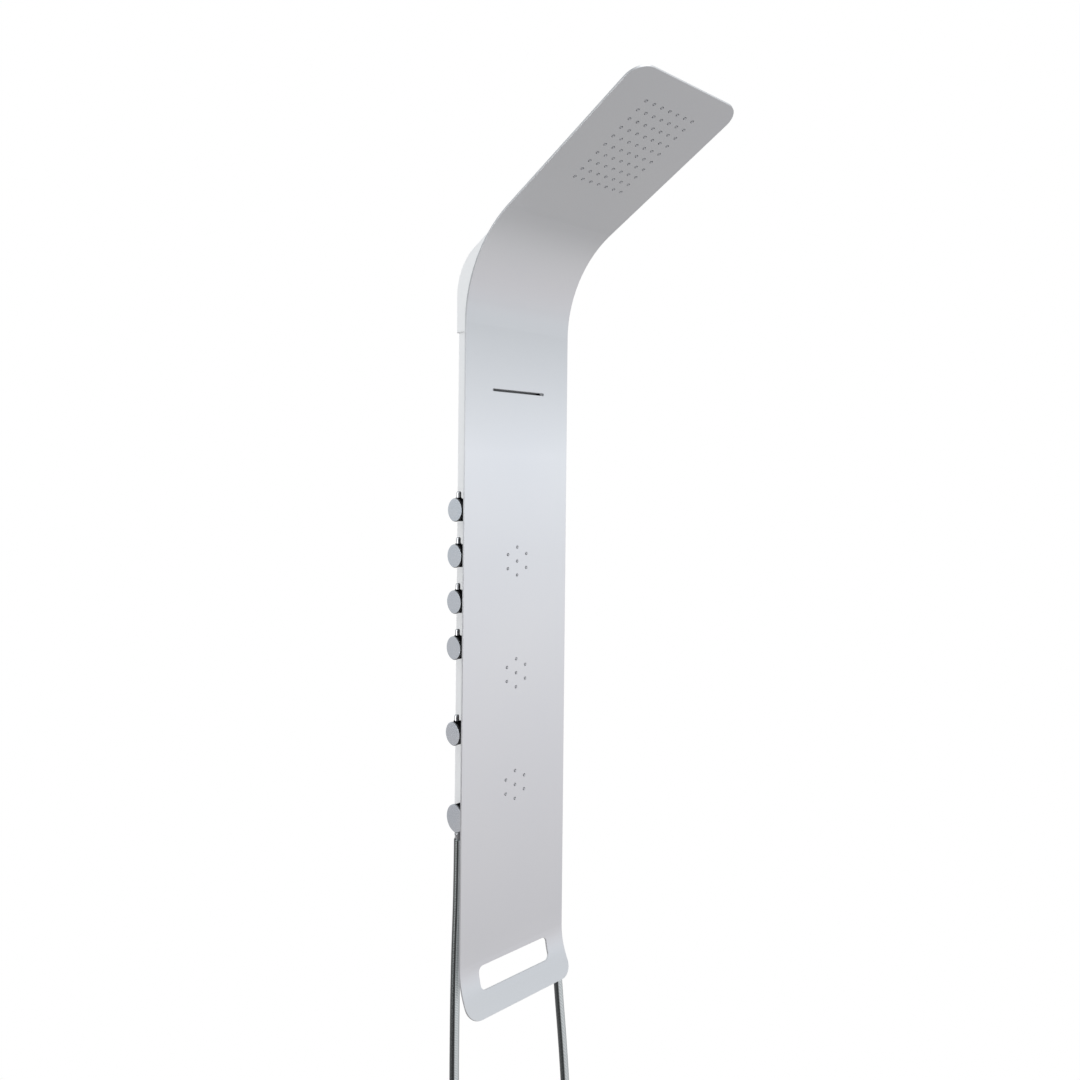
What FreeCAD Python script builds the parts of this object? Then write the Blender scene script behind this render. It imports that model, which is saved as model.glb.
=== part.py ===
"""Wall-mounted shower panel column: a bent sheet with a rain head, a waterfall slot and body
jets in front, and a shallow housing behind it that carries the valves, pipes and hand shower.

Millimetres. +X is to the right, +Y points into the wall, +Z is up. The wall is the plane
Y = 0, and the origin is the centre of the four wall screws.
"""
import FreeCAD, Part
import math
import os

V = FreeCAD.Vector

# ---- driving dimensions -------------------------------------------------------------------
# bent front sheet
PANEL_WIDTH = 200.0
SHEET = 3.0
WALL_TO_FRONT = 60.0
STRAIGHT_TOP = 457.0
STRAIGHT_BOTTOM = -460.0
HEAD_BEND_RADIUS = 160.0
HEAD_BEND = 63.25
HEAD_LENGTH = 258.0
HEAD_CORNER = 26.0
FOOT_BEND_RADIUS = 95.0
FOOT_BEND = 30.0
FOOT_LENGTH = 24.0
FOOT_CORNER = 21.5
# finger slot in the foot
HANDLE_WIDTH = 133.0
HANDLE_HEIGHT = 33.0
HANDLE_CORNER = 8.0
HANDLE_FROM_BEND = 24.0
# rain nozzles in the head
RAIN_COLUMNS = 7
RAIN_ROWS = 10
RAIN_PITCH_X = 15.0
RAIN_PITCH_S = 15.2
RAIN_CENTRE = 148.0
NOZZLE_DIAMETER = 4.2
NOZZLE_TIP_DIAMETER = 2.8
NOZZLE_PROUD = 0.8
NOZZLE_CLEARANCE = 0.2
MAT = 2.0
MAT_MARGIN = 5.0
# rain chamber behind the nozzle mat
CHAMBER_HEIGHT = 12.0
CHAMBER_WALL = 3.0
CHAMBER_ROOF = 2.1
CHAMBER_RIM = 4.0
CHAMBER_CORNER = 8.0
EAR_REACH = 7.0
EAR_RADIUS = 6.0
EAR_THICKNESS = 3.0
EAR_OFFSET_S = 50.0
RAIN_INLET_DEPTH = 9.5
# waterfall outlet
WATERFALL_Z = 365.5
WATERFALL_WIDTH = 101.0
WATERFALL_GAP = 4.0
SLOT_ROUND_SHARE = 0.45
WATERFALL_SLIT = 3.0
WATERFALL_BODY_HEIGHT = 22.0
WATERFALL_BODY_DEPTH = 14.0
WATERFALL_BODY_MARGIN = 6.0
WATERFALL_WALL = 2.0
WATERFALL_BODY_CORNER = 3.0
WATERFALL_INLET_X = 34.0
# body jets
JET_Z = 114.5
JET_PITCH = 166.5
JET_COUNT = 3
JET_RING_RADIUS = 20.8
JET_RING_NOZZLES = 6
JET_INSERT_RADIUS = 25.0
JET_CUP_RADIUS = 26.0
JET_CUP_DEPTH = 14.0
JET_CUP_WALL = 2.0
JET_FLANGE_RADIUS = 34.5
JET_FLANGE = 2.5
JET_STUD_RADIUS = 30.5
# column housing behind the sheet
HOUSING_WIDTH = 146.0
HOUSING_DEPTH = 51.0
HOUSING_WALL = 2.0
HOUSING_BOTTOM = -400.0
HOUSING_TOP = 463.0
HOUSING_CORNER = 4.0
LIP_WIDTH = 14.0
SUPPLY_WINDOW_MARGIN = 5.0
SUPPLY_WINDOW_HEIGHT = 40.0
# head cover, lapped over the top of the housing
COVER_WALL = 1.8
COVER_HEIGHT = 18.0
COVER_LAP = 12.0
COVER_TIP_INSET = 12.0
COVER_TIP_CORNER = 18.0
COVER_EDGE = 3.0
SHOULDER_RADIUS = 72.0
STANDOFF_RADIUS = 4.0
STANDOFF_X = 62.0
STANDOFF_PLACES = (40.0, 235.0)
# bottom cap
CAP_PLATE = 2.5
CAP_RIM = 8.0
CAP_RIM_WALL = 1.6
CAP_SLOTS = 5
CAP_SLOT_PITCH = 22.0
CAP_SLOT_WIDTH = 4.0
CAP_SLOT_LENGTH = 18.0
# wall brackets
BRACKET_SPACING = 640.0
BRACKET_HOLE_SPACING = 100.0
BRACKET_HOLE = 6.5
BRACKET_WIDTH = 120.0
BRACKET_HEIGHT = 36.0
BRACKET_PLATE = 2.5
BRACKET_TONGUE = 12.0
WINDOW_MARGIN = 4.0
WINDOW_DROP = 7.0
# small fasteners
STUD_RADIUS = 2.0
STUD_LENGTH = 7.0
STUD_NUT_FLATS = 7.0
STUD_NUT = 3.2
HOUSING_STUD_INSET = 7.0
HOUSING_STUD_MARGIN = 30.0
HOUSING_STUDS = 4
SCREW_HEAD_RADIUS = 3.8
SCREW_HEAD = 2.4
SCREW_DEPTH = 8.0
# valves on the left side
VALVE_AXIS_DEPTH = 25.0
VALVE_TOP_Z = 190.9
VALVE_PITCH = 66.3
MIXER_DROP = 123.6
OUTLET_DROP = 123.6
NECK_RADIUS = 9.0
NECK_LENGTH = 3.6
NECK_NUT_RADIUS = 13.5
VALVE_FLATS = 24.0
VALVE_FLANGE = 11.0
PLUG_RADIUS = 8.0
PLUG_LENGTH = 9.0
SPINDLE_RADIUS = 4.0
SPINDLE_IN_VALVE = 14.0
SPINDLE_IN_KNOB = 8.0
# knobs
KNOB_GAP = 0.8
KNOB_RADIUS = 16.4
KNOB_LENGTH = 16.1
KNOB_CHAMFER = 0.8
LEVER_BOSS_WALL = 1.2
LEVER_BOSS = 1.4
KNOB_CAP_RADIUS = 16.9
KNOB_CAP = 2.5
KNOB_CAP_EDGE = 0.9
KNOB_CAP_SPIGOT = 6.0
KNOB_CAP_SPIGOT_LENGTH = 1.6
LEVER_RADIUS = 3.4
LEVER_TIP = 27.2
LEVER_ROUND_SHARE = 0.8
LEVER_SEAT = 8.5
# hose outlet
OUTLET_BODY_LENGTH = 15.0
OUTLET_BODY_RADIUS = 19.2
OUTLET_DISC_RADIUS = 20.0
OUTLET_STEM_BACK = 7.5
OUTLET_STEM_RADIUS = 5.0
OUTLET_STEM_SEAT = 8.0
OUTLET_STEM_REACH = 31.0
OUTLET_COLLAR_RADIUS = 5.9
OUTLET_COLLAR_DROP = 23.5
# brass manifold and mixer
MANIFOLD_X = -45.0
MANIFOLD_RADIUS = 12.0
MANIFOLD_BORE = 7.0
MANIFOLD_END = 18.0
MANIFOLD_END_WALL = 3.0
MANIFOLD_SPIGOT_END = -29.0
FEED_RADIUS = 6.0
SPIGOT_LENGTH = 6.0
MIXER_RADIUS = 17.0
MIXER_END = -9.0
MIXER_DOME = 6.0
INLET_X = (-50.0, -20.0)
INLET_RADIUS = 7.0
INLET_WALL = 2.0
INLET_DROP = 40.0
INLET_BEND = 12.0
INLET_NUT_FLATS = 24.0
INLET_NUT_LENGTH = 11.5
INLET_NUT_FLOOR = 3.0
INLET_THREAD_RADIUS = 9.3
# inner pipes
PIPE_RADIUS = 5.0
PIPE_WALL = 1.0
PIPE_BEND = 10.0
RAIN_PIPE_X = -14.0
RAIN_PIPE_SWEEP = 70.0
WATERFALL_RISE = 26.0
JET_HEADER_X = 40.0
JET_STUB_RADIUS = 4.0
HAND_PIPE_X = 4.0
# hand shower, its holder and hose
HANDSET_REACH = 28.0
HOLDER_Z = -48.0
HOLDER_HEIGHT = 22.0
HOLDER_RADIUS = 16.0
HOLDER_FLANGE_RADIUS = 13.0
HOLDER_FLANGE = 3.0
HOLDER_ARM_RADIUS = 7.0
HOLDER_SLOT = 15.6
HOLDER_STUD_OFFSET = 8.5
CONE_TOP = 12.0
CONE_BOTTOM = 9.0
CONE_HEIGHT = 32.0
CONE_SEAT_GAP = 0.3
CONE_DROP = 1.0
HANDSET_THREAD = 10.0
HANDSET_THREAD_LENGTH = 9.7
HANDSET_GRIP_RADIUS = 11.0
HANDSET_HEAD_RADIUS = 13.0
HANDSET_LENGTH = 192.0
HANDSET_GRIP_LENGTH = 105.0
HANDSET_CROWN = 7.0
HANDSET_CROWN_ROUND = 6.3
HANDSET_BORE = 6.5
SPRAY_FLAT = 9.6
SPRAY_LENGTH = 66.0
SPRAY_PLATE_WIDTH = 13.0
SPRAY_PLATE_LENGTH = 58.0
SPRAY_PLATE = 2.0
SPRAY_PLATE_CORNER = 6.0
SPRAY_PROUD = 0.5
SPRAY_COLUMNS = 3
SPRAY_ROWS = 9
SPRAY_PITCH_Y = 3.8
SPRAY_PITCH_Z = 5.8
SPRAY_NUB_RADIUS = 0.9
HOSE_DIAMETER = 14.0
HOSE_BEND_SHARE = 0.45
# clearances
FIT = 0.05
RUNNING = 0.08
SLIP = 0.3

# ---- places worked out from them ----------------------------------------------------------
FRONT_Y = -WALL_TO_FRONT
BACK_Y = FRONT_Y + SHEET
HOUSING_REAR = BACK_Y + HOUSING_DEPTH
AXIS_Y = BACK_Y + VALVE_AXIS_DEPTH
SIDE_X = HOUSING_WIDTH / 2
COVER_REAR = HOUSING_REAR + SLIP + COVER_WALL
COVER_HALF = SIDE_X + SLIP + COVER_WALL
COVER_TOP_DEPTH = SHEET + COVER_HEIGHT
VALVE_Z = [VALVE_TOP_Z - VALVE_PITCH * i for i in range(4)]
MIXER_Z = VALVE_Z[-1] - MIXER_DROP
OUTLET_Z = MIXER_Z - OUTLET_DROP
JET_PLACES = [JET_Z - JET_PITCH * i for i in range(JET_COUNT)]
NECK_END = -SIDE_X - NECK_LENGTH
KNOB_REAR = NECK_END - KNOB_GAP
KNOB_FRONT = KNOB_REAR - KNOB_LENGTH
OUTLET_FRONT = -SIDE_X - OUTLET_BODY_LENGTH
OUTLET_STEM_X = OUTLET_FRONT - KNOB_CAP + OUTLET_STEM_BACK
VALVE_SEAT_X = -SIDE_X + HOUSING_WALL + VALVE_FLANGE
HANDSET_X = SIDE_X + HANDSET_REACH
CONE_BASE = HOLDER_Z - CONE_HEIGHT / 2 - CONE_DROP
HANDSET_BASE = CONE_BASE + CONE_HEIGHT
INLET_Z = MIXER_Z - MIXER_RADIUS - SPIGOT_LENGTH - INLET_DROP
MAT_HALF_X = RAIN_PITCH_X * (RAIN_COLUMNS - 1) / 2 + MAT_MARGIN
MAT_HALF_S = RAIN_PITCH_S * (RAIN_ROWS - 1) / 2 + MAT_MARGIN
CHAMBER_HALF_X = MAT_HALF_X + CHAMBER_WALL
CHAMBER_HALF_S = MAT_HALF_S + CHAMBER_WALL
PIPE_BORE = PIPE_RADIUS - PIPE_WALL

# Route of the free shower hose, chosen by eye in the plane of the valve axes: (x, z) points
# from the outlet's stem, down the left side, round the loop and up to the hand shower.
HOSE_LEFT_LEG = [(OUTLET_STEM_X, -356.0), (-86.9, -476.0), (-87.4, -600.0), (-86.4, -706.0)]
HOSE_LOOP = [(-84.3, -795.0), (-20.0, -861.0), (75.0, -860.0), (143.0, -792.0)]
HOSE_RIGHT_LEG = [(134.5, -690.0), (119.0, -560.0), (106.6, -420.0), (102.2, -290.0),
                  (HANDSET_X, -170.0)]


# ---- helpers ------------------------------------------------------------------------------
def box(x0, x1, y0, y1, z0, z1):
    """A box between two opposite corners."""
    return Part.makeBox(x1 - x0, y1 - y0, z1 - z0, V(x0, y0, z0))


def rod(start, direction, radius, length):
    """A cylinder from a point, along a direction."""
    return Part.makeCylinder(radius, length, V(*start), V(*direction))


def turned(points, origin, axis):
    """A solid of revolution: points are (distance along the axis, radius)."""
    axis = V(*axis)
    across = V(0, 0, 1) if abs(axis.z) < 0.5 else V(1, 0, 0)
    start = V(*origin)
    corners = [start + axis * along + across * radius for along, radius in points]
    outline = Part.makePolygon(corners + [corners[0]])
    return Part.Face(outline).revolve(start, axis, 360)


def hexagon(start, direction, flats, length, bore):
    """A hexagon nut or flange with a plain bore, flats square to X or to the sheet."""
    side = flats / math.sqrt(3)
    corners = [V(side * math.cos(math.radians(a)), side * math.sin(math.radians(a)), 0)
               for a in range(30, 391, 60)]
    prism = Part.Face(Part.makePolygon(corners)).extrude(V(0, 0, length))
    if bore:
        prism = prism.cut(Part.makeCylinder(bore, length))
    turn = FreeCAD.Rotation(V(0, 0, 1), V(*direction))
    prism.Placement = FreeCAD.Placement(V(*start), turn)
    return prism


def rounded_plate(width, height, radius, z0, z1, centre=(0.0, 0.0)):
    """A plate in the local XY plane with round corners, between two local heights."""
    x, y = centre
    plate = box(x - width / 2, x + width / 2, y - height / 2, y + height / 2, z0, z1)
    upright = [e for e in plate.Edges if abs(e.tangentAt(e.FirstParameter).z) > 0.99]
    return plate.makeFillet(radius, upright)


def rounded_path(points, radius_at):
    """Straight runs joined by tangent arcs; radius_at(run before, run after, turn) is an arc's."""
    points = [V(*p) for p in points]
    edges = []
    radii = []
    start = points[0]
    for before, corner, after in zip(points, points[1:], points[2:]):
        run_in = corner - before
        run_out = after - corner
        turn = run_in.getAngle(run_out)
        radius = radius_at(run_in.Length, run_out.Length, turn)
        inward = V(run_in).normalize()
        outward = V(run_out).normalize()
        cut = radius * math.tan(turn / 2)
        bisector = (outward - inward).normalize()
        middle = corner + bisector * (radius / math.cos(turn / 2) - radius)
        arc_start = corner - inward * cut
        arc_end = corner + outward * cut
        if (arc_start - start).Length > 1e-6:
            edges.append(Part.LineSegment(start, arc_start).toShape())
        edges.append(Part.Arc(arc_start, middle, arc_end).toShape())
        radii.append(radius)
        start = arc_end
    edges.append(Part.LineSegment(start, points[-1]).toShape())
    return Part.Wire(edges), radii


def swept(path, radius):
    """A round bar that follows a path."""
    first = path.Edges[0]
    start = first.valueAt(first.FirstParameter)
    ring = Part.Wire(Part.makeCircle(radius, start, first.tangentAt(first.FirstParameter)))
    return path.makePipeShell([ring], True, False)


def pipe(points, bend=PIPE_BEND, radius=PIPE_RADIUS, wall=PIPE_WALL):
    """An open-ended pipe with one bend radius all along."""
    path, _ = rounded_path(points, lambda run_in, run_out, turn: bend)
    return swept(path, radius).cut(swept(path, radius - wall))


def grid(columns, pitch_x, rows, pitch_y):
    """Places of a centred rectangular pattern."""
    return [((i - (columns - 1) / 2) * pitch_x, (j - (rows - 1) / 2) * pitch_y)
            for j in range(rows) for i in range(columns)]


# Flat features are built in a local frame on the sheet's front face: x across, y up along the
# sheet and z out towards the bather, so what lies behind the front face has a negative z.
def set_on_sheet(shape, origin, tilt):
    placed = shape.copy()
    seat = FreeCAD.Placement(origin, FreeCAD.Rotation(V(1, 0, 0), 90 + tilt))
    placed.Placement = seat.multiply(shape.Placement)
    return placed


def on_column(shape, z):
    return set_on_sheet(shape, V(0, FRONT_Y, z), 0)


def on_head(shape, along=0.0):
    return set_on_sheet(shape, head_point(along, 0), HEAD_BEND)


def on_foot(shape, along):
    """along is counted down the bent foot, from the start of its bend."""
    turned_by = min(along / FOOT_BEND_RADIUS, math.radians(FOOT_BEND))
    past = along - FOOT_BEND_RADIUS * turned_by
    y = FRONT_Y - FOOT_BEND_RADIUS * (1 - math.cos(turned_by)) - past * math.sin(turned_by)
    z = STRAIGHT_BOTTOM - FOOT_BEND_RADIUS * math.sin(turned_by) - past * math.cos(turned_by)
    return set_on_sheet(shape, V(0, y, z), -math.degrees(turned_by))


def head_point(along, depth, x=0.0):
    """A point above the head's bend: along the sloping sheet, and behind its front face."""
    bend = math.radians(HEAD_BEND)
    y = FRONT_Y - HEAD_BEND_RADIUS * (1 - math.cos(bend)) - along * math.sin(bend) + depth * math.cos(bend)
    z = STRAIGHT_TOP + HEAD_BEND_RADIUS * math.sin(bend) + along * math.cos(bend) + depth * math.sin(bend)
    return V(x, y, z)


def head_along_at(y, depth):
    """Where the line at a depth behind the sloping sheet reaches a given y."""
    bend = math.radians(HEAD_BEND)
    return (head_point(0, depth).y - y) / math.sin(bend)


def studs(places, length):
    """Weld studs on the back of the sheet, in the local frame."""
    return [rod((x, y, -SHEET), (0, 0, -1), STUD_RADIUS, length) for x, y in places]


def stud_nuts(places, seat):
    """Their nuts, on a flange whose top is at a local height."""
    return [hexagon((x, y, seat), (0, 0, -1), STUD_NUT_FLATS, STUD_NUT, STUD_RADIUS + FIT) for x, y in places]


def save(name, *solids):
    shape = solids[0] if len(solids) == 1 else Part.makeCompound(list(solids))
    shape.exportStep("parts/" + name + ".step")


# ---- where repeated features sit ----------------------------------------------------------
def rain_places():
    return [(x, RAIN_CENTRE + y) for x, y in grid(RAIN_COLUMNS, RAIN_PITCH_X, RAIN_ROWS, RAIN_PITCH_S)]


def jet_nozzle_places():
    ring = [math.radians(90 + 360 * i / JET_RING_NOZZLES) for i in range(JET_RING_NOZZLES)]
    return [(0.0, 0.0)] + [(JET_RING_RADIUS * math.cos(a), JET_RING_RADIUS * math.sin(a)) for a in ring]


def ear_places():
    x = CHAMBER_HALF_X + EAR_REACH
    return [(right * x, RAIN_CENTRE + up * EAR_OFFSET_S) for right in (-1, 1) for up in (-1, 1)]


def jet_stud_places():
    return [(0.0, -JET_STUD_RADIUS), (0.0, JET_STUD_RADIUS)]


def housing_stud_places():
    low = HOUSING_BOTTOM + HOUSING_STUD_MARGIN
    high = HOUSING_TOP - HOUSING_STUD_MARGIN
    step = (high - low) / (HOUSING_STUDS - 1)
    x = SIDE_X - HOUSING_STUD_INSET
    return [(side * x, low + step * i) for side in (-1, 1) for i in range(HOUSING_STUDS)]


def standoff_places():
    return [(side * STANDOFF_X, along) for side in (-1, 1) for along in STANDOFF_PLACES]


# ---- bent front sheet ---------------------------------------------------------------------
def sheet_side(depth):
    """The sheet's side line at a depth behind its front face, from the foot's end to the head's."""
    head = math.radians(HEAD_BEND)
    foot = math.radians(FOOT_BEND)
    foot_radius = FOOT_BEND_RADIUS + depth
    head_radius = HEAD_BEND_RADIUS + depth
    foot_centre = V(0, FRONT_Y - FOOT_BEND_RADIUS, STRAIGHT_BOTTOM)
    head_centre = V(0, FRONT_Y - HEAD_BEND_RADIUS, STRAIGHT_TOP)

    def on_arc(centre, radius, angle):
        return centre + V(0, radius * math.cos(angle), radius * math.sin(angle))

    foot_end = on_arc(foot_centre, foot_radius, -foot)
    foot_tip = foot_end + V(0, -math.sin(foot), -math.cos(foot)) * FOOT_LENGTH
    head_end = on_arc(head_centre, head_radius, head)
    head_tip = head_end + V(0, -math.sin(head), math.cos(head)) * HEAD_LENGTH
    low = on_arc(foot_centre, foot_radius, 0)
    high = on_arc(head_centre, head_radius, 0)
    return [
        Part.LineSegment(foot_tip, foot_end).toShape(),
        Part.Arc(foot_end, on_arc(foot_centre, foot_radius, -foot / 2), low).toShape(),
        Part.LineSegment(low, high).toShape(),
        Part.Arc(high, on_arc(head_centre, head_radius, head / 2), head_end).toShape(),
        Part.LineSegment(head_end, head_tip).toShape(),
    ]


def corner_cutters(x_edge, y_edge, radius, up):
    """What a round corner takes off both sides of the sheet's end, in the local frame."""
    cutters = []
    for side in (-1, 1):
        centre = (side * (x_edge - radius), y_edge - up * radius)
        xs = sorted((centre[0], side * (x_edge + 1)))
        ys = sorted((centre[1], y_edge + up))
        square = box(xs[0], xs[1], ys[0], ys[1], -SHEET - 1, 1)
        cutters.append(square.cut(rod((centre[0], centre[1], -SHEET - 2), (0, 0, 1), radius, SHEET + 4)))
    return cutters


def front_panel():
    front = sheet_side(0)
    back = sheet_side(SHEET)
    foot_edge = Part.LineSegment(front[0].Vertexes[0].Point, back[0].Vertexes[0].Point).toShape()
    head_edge = Part.LineSegment(front[-1].Vertexes[-1].Point, back[-1].Vertexes[-1].Point).toShape()
    outline = Part.Wire(Part.__sortEdges__(front + back + [foot_edge, head_edge]))
    sheet = Part.Face(outline).extrude(V(PANEL_WIDTH, 0, 0))
    sheet.translate(V(-PANEL_WIDTH / 2, 0, 0))

    half = PANEL_WIDTH / 2
    foot_total = FOOT_BEND_RADIUS * math.radians(FOOT_BEND) + FOOT_LENGTH
    hole = NOZZLE_DIAMETER / 2 + NOZZLE_CLEARANCE
    through = SHEET + 2
    cuts = [on_head(c) for c in corner_cutters(half, HEAD_LENGTH, HEAD_CORNER, 1)]
    cuts += [on_foot(c, foot_total) for c in corner_cutters(half, 0, FOOT_CORNER, -1)]
    cuts += [on_head(rod((x, y, -SHEET - 1), (0, 0, 1), hole, through)) for x, y in rain_places()]
    for z in JET_PLACES:
        cuts += [on_column(rod((x, y, -SHEET - 1), (0, 0, 1), hole, through), z)
                 for x, y in jet_nozzle_places()]
    slot = rounded_plate(WATERFALL_WIDTH, WATERFALL_GAP, WATERFALL_GAP * SLOT_ROUND_SHARE, -SHEET - 1, 1)
    cuts.append(on_column(slot, WATERFALL_Z))
    handle = rounded_plate(HANDLE_WIDTH, HANDLE_HEIGHT, HANDLE_CORNER, -SHEET * 4, SHEET * 4)
    cuts.append(on_foot(handle, HANDLE_FROM_BEND))

    welded = [on_head(s) for s in studs(ear_places(), STUD_LENGTH)]
    for z in JET_PLACES:
        welded += [on_column(s, z) for s in studs(jet_stud_places(), STUD_LENGTH)]
    welded += [on_column(s, 0) for s in studs(housing_stud_places(), STUD_LENGTH)]
    return sheet.cut(cuts).fuse(welded)


# ---- rain head ----------------------------------------------------------------------------
def nozzle(x, y):
    """One soft nozzle that stands through the sheet, in the local frame."""
    return Part.makeCone(NOZZLE_DIAMETER / 2, NOZZLE_TIP_DIAMETER / 2, SHEET + NOZZLE_PROUD, V(x, y, -SHEET))


def rain_nozzle_mat():
    plate = rounded_plate(2 * MAT_HALF_X, 2 * MAT_HALF_S, MAT_MARGIN, -SHEET - MAT, -SHEET, (0, RAIN_CENTRE))
    return on_head(plate.fuse([nozzle(x, y) for x, y in rain_places()]))


def rain_chamber():
    """A shallow tray that clamps the mat's rim on the sheet and feeds all nozzles."""
    centre = (0, RAIN_CENTRE)
    top = -SHEET - CHAMBER_HEIGHT
    tray = rounded_plate(2 * CHAMBER_HALF_X, 2 * CHAMBER_HALF_S, CHAMBER_CORNER, top, -SHEET, centre)
    ears = []
    for x, y in ear_places():
        inner = math.copysign(CHAMBER_HALF_X - CHAMBER_WALL, x)
        low, high = sorted((inner, x))
        ears.append(box(low, high, y - EAR_RADIUS, y + EAR_RADIUS, -SHEET - EAR_THICKNESS, -SHEET))
        ears.append(rod((x, y, -SHEET), (0, 0, -1), EAR_RADIUS, EAR_THICKNESS))
    inlet_y = RAIN_CENTRE - CHAMBER_HALF_S
    spigot = rod((RAIN_PIPE_X, inlet_y + CHAMBER_WALL, -RAIN_INLET_DEPTH), (0, -1, 0), PIPE_RADIUS,
                 CHAMBER_WALL + SPIGOT_LENGTH)
    body = tray.fuse(ears + [spigot])
    pocket = rounded_plate(2 * (MAT_HALF_X + SLIP), 2 * (MAT_HALF_S + SLIP), MAT_MARGIN,
                           -SHEET - MAT, -SHEET, centre)
    room = rounded_plate(2 * (MAT_HALF_X - CHAMBER_RIM), 2 * (MAT_HALF_S - CHAMBER_RIM), MAT_MARGIN,
                         top + CHAMBER_ROOF, -SHEET, centre)
    way_in = rod((RAIN_PIPE_X, inlet_y + 2 * CHAMBER_WALL + CHAMBER_RIM, -RAIN_INLET_DEPTH), (0, -1, 0),
                 PIPE_BORE, 3 * CHAMBER_WALL + CHAMBER_RIM + SPIGOT_LENGTH)
    holes = [rod((x, y, -SHEET), (0, 0, -1), STUD_RADIUS + SLIP, EAR_THICKNESS) for x, y in ear_places()]
    return on_head(body.cut([pocket, room, way_in] + holes))


# ---- waterfall outlet ---------------------------------------------------------------------
def waterfall_outlet():
    """A flat spout behind the slot in the sheet, open along it in a thin slit."""
    rear = -SHEET - WATERFALL_BODY_DEPTH
    width = WATERFALL_WIDTH + 2 * WATERFALL_BODY_MARGIN
    body = rounded_plate(width, WATERFALL_BODY_HEIGHT, WATERFALL_BODY_CORNER, rear, -SHEET)
    middle = -SHEET - WATERFALL_BODY_DEPTH / 2
    low = -WATERFALL_BODY_HEIGHT / 2
    spigot = rod((WATERFALL_INLET_X, low + WATERFALL_WALL, middle), (0, -1, 0), PIPE_RADIUS,
                 WATERFALL_WALL + SPIGOT_LENGTH)
    room = box(-width / 2 + WATERFALL_WALL, width / 2 - WATERFALL_WALL, low + WATERFALL_WALL,
               -low - WATERFALL_WALL, rear + WATERFALL_WALL, -SHEET - WATERFALL_WALL)
    slit_half = WATERFALL_WIDTH / 2 - 2 * WATERFALL_WALL
    slit = box(-slit_half, slit_half, -WATERFALL_SLIT / 2, WATERFALL_SLIT / 2, rear + WATERFALL_WALL, 0)
    way_in = rod((WATERFALL_INLET_X, 0, middle), (0, -1, 0), PIPE_BORE, -low + SPIGOT_LENGTH)
    return on_column(body.fuse(spigot).cut([room, slit, way_in]), WATERFALL_Z)


# ---- body jets ----------------------------------------------------------------------------
def jet_inserts():
    disc = rod((0, 0, -SHEET - MAT), (0, 0, 1), JET_INSERT_RADIUS, MAT)
    insert = disc.fuse([nozzle(x, y) for x, y in jet_nozzle_places()])
    return [on_column(insert, z) for z in JET_PLACES]


def jet_body(z):
    """A flanged cup behind the insert, fed from its side."""
    face = SHEET
    pocket = JET_INSERT_RADIUS + SLIP / 2
    rear = SHEET + JET_CUP_DEPTH
    bore = JET_CUP_RADIUS - JET_CUP_WALL
    outline = [
        (face, pocket), (face, JET_FLANGE_RADIUS), (face + JET_FLANGE, JET_FLANGE_RADIUS),
        (face + JET_FLANGE, JET_CUP_RADIUS), (rear, JET_CUP_RADIUS), (rear, 0),
        (rear - JET_CUP_WALL, 0), (rear - JET_CUP_WALL, bore - JET_CUP_WALL),
        (face + MAT, bore - JET_CUP_WALL), (face + MAT, pocket),
    ]
    cup = turned(outline, (0, 0, 0), (0, 0, -1))
    depth = -(face + JET_CUP_DEPTH / 2)
    spigot = rod((bore, 0, depth), (1, 0, 0), JET_STUB_RADIUS, JET_HEADER_X - PIPE_RADIUS - bore)
    way_in = rod((bore / 2, 0, depth), (1, 0, 0), JET_STUB_RADIUS - PIPE_WALL, JET_HEADER_X)
    holes = [rod((x, y, -face), (0, 0, -1), STUD_RADIUS + SLIP, JET_FLANGE) for x, y in jet_stud_places()]
    return on_column(cup.fuse(spigot).cut([way_in] + holes), z)


# ---- housing, cover and cap ---------------------------------------------------------------
def channel(half_width, front, rear, low, high, corner):
    """A box-shaped bar with its two rear upright corners rounded."""
    solid = box(-half_width, half_width, front, rear, low, high)
    rear_edges = [e for e in solid.Edges
                  if abs(e.tangentAt(e.FirstParameter).z) > 0.99 and abs(e.CenterOfMass.y - rear) < 1e-6]
    return solid.makeFillet(corner, rear_edges)


def bracket_places():
    return (BRACKET_SPACING / 2, -BRACKET_SPACING / 2)


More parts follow.
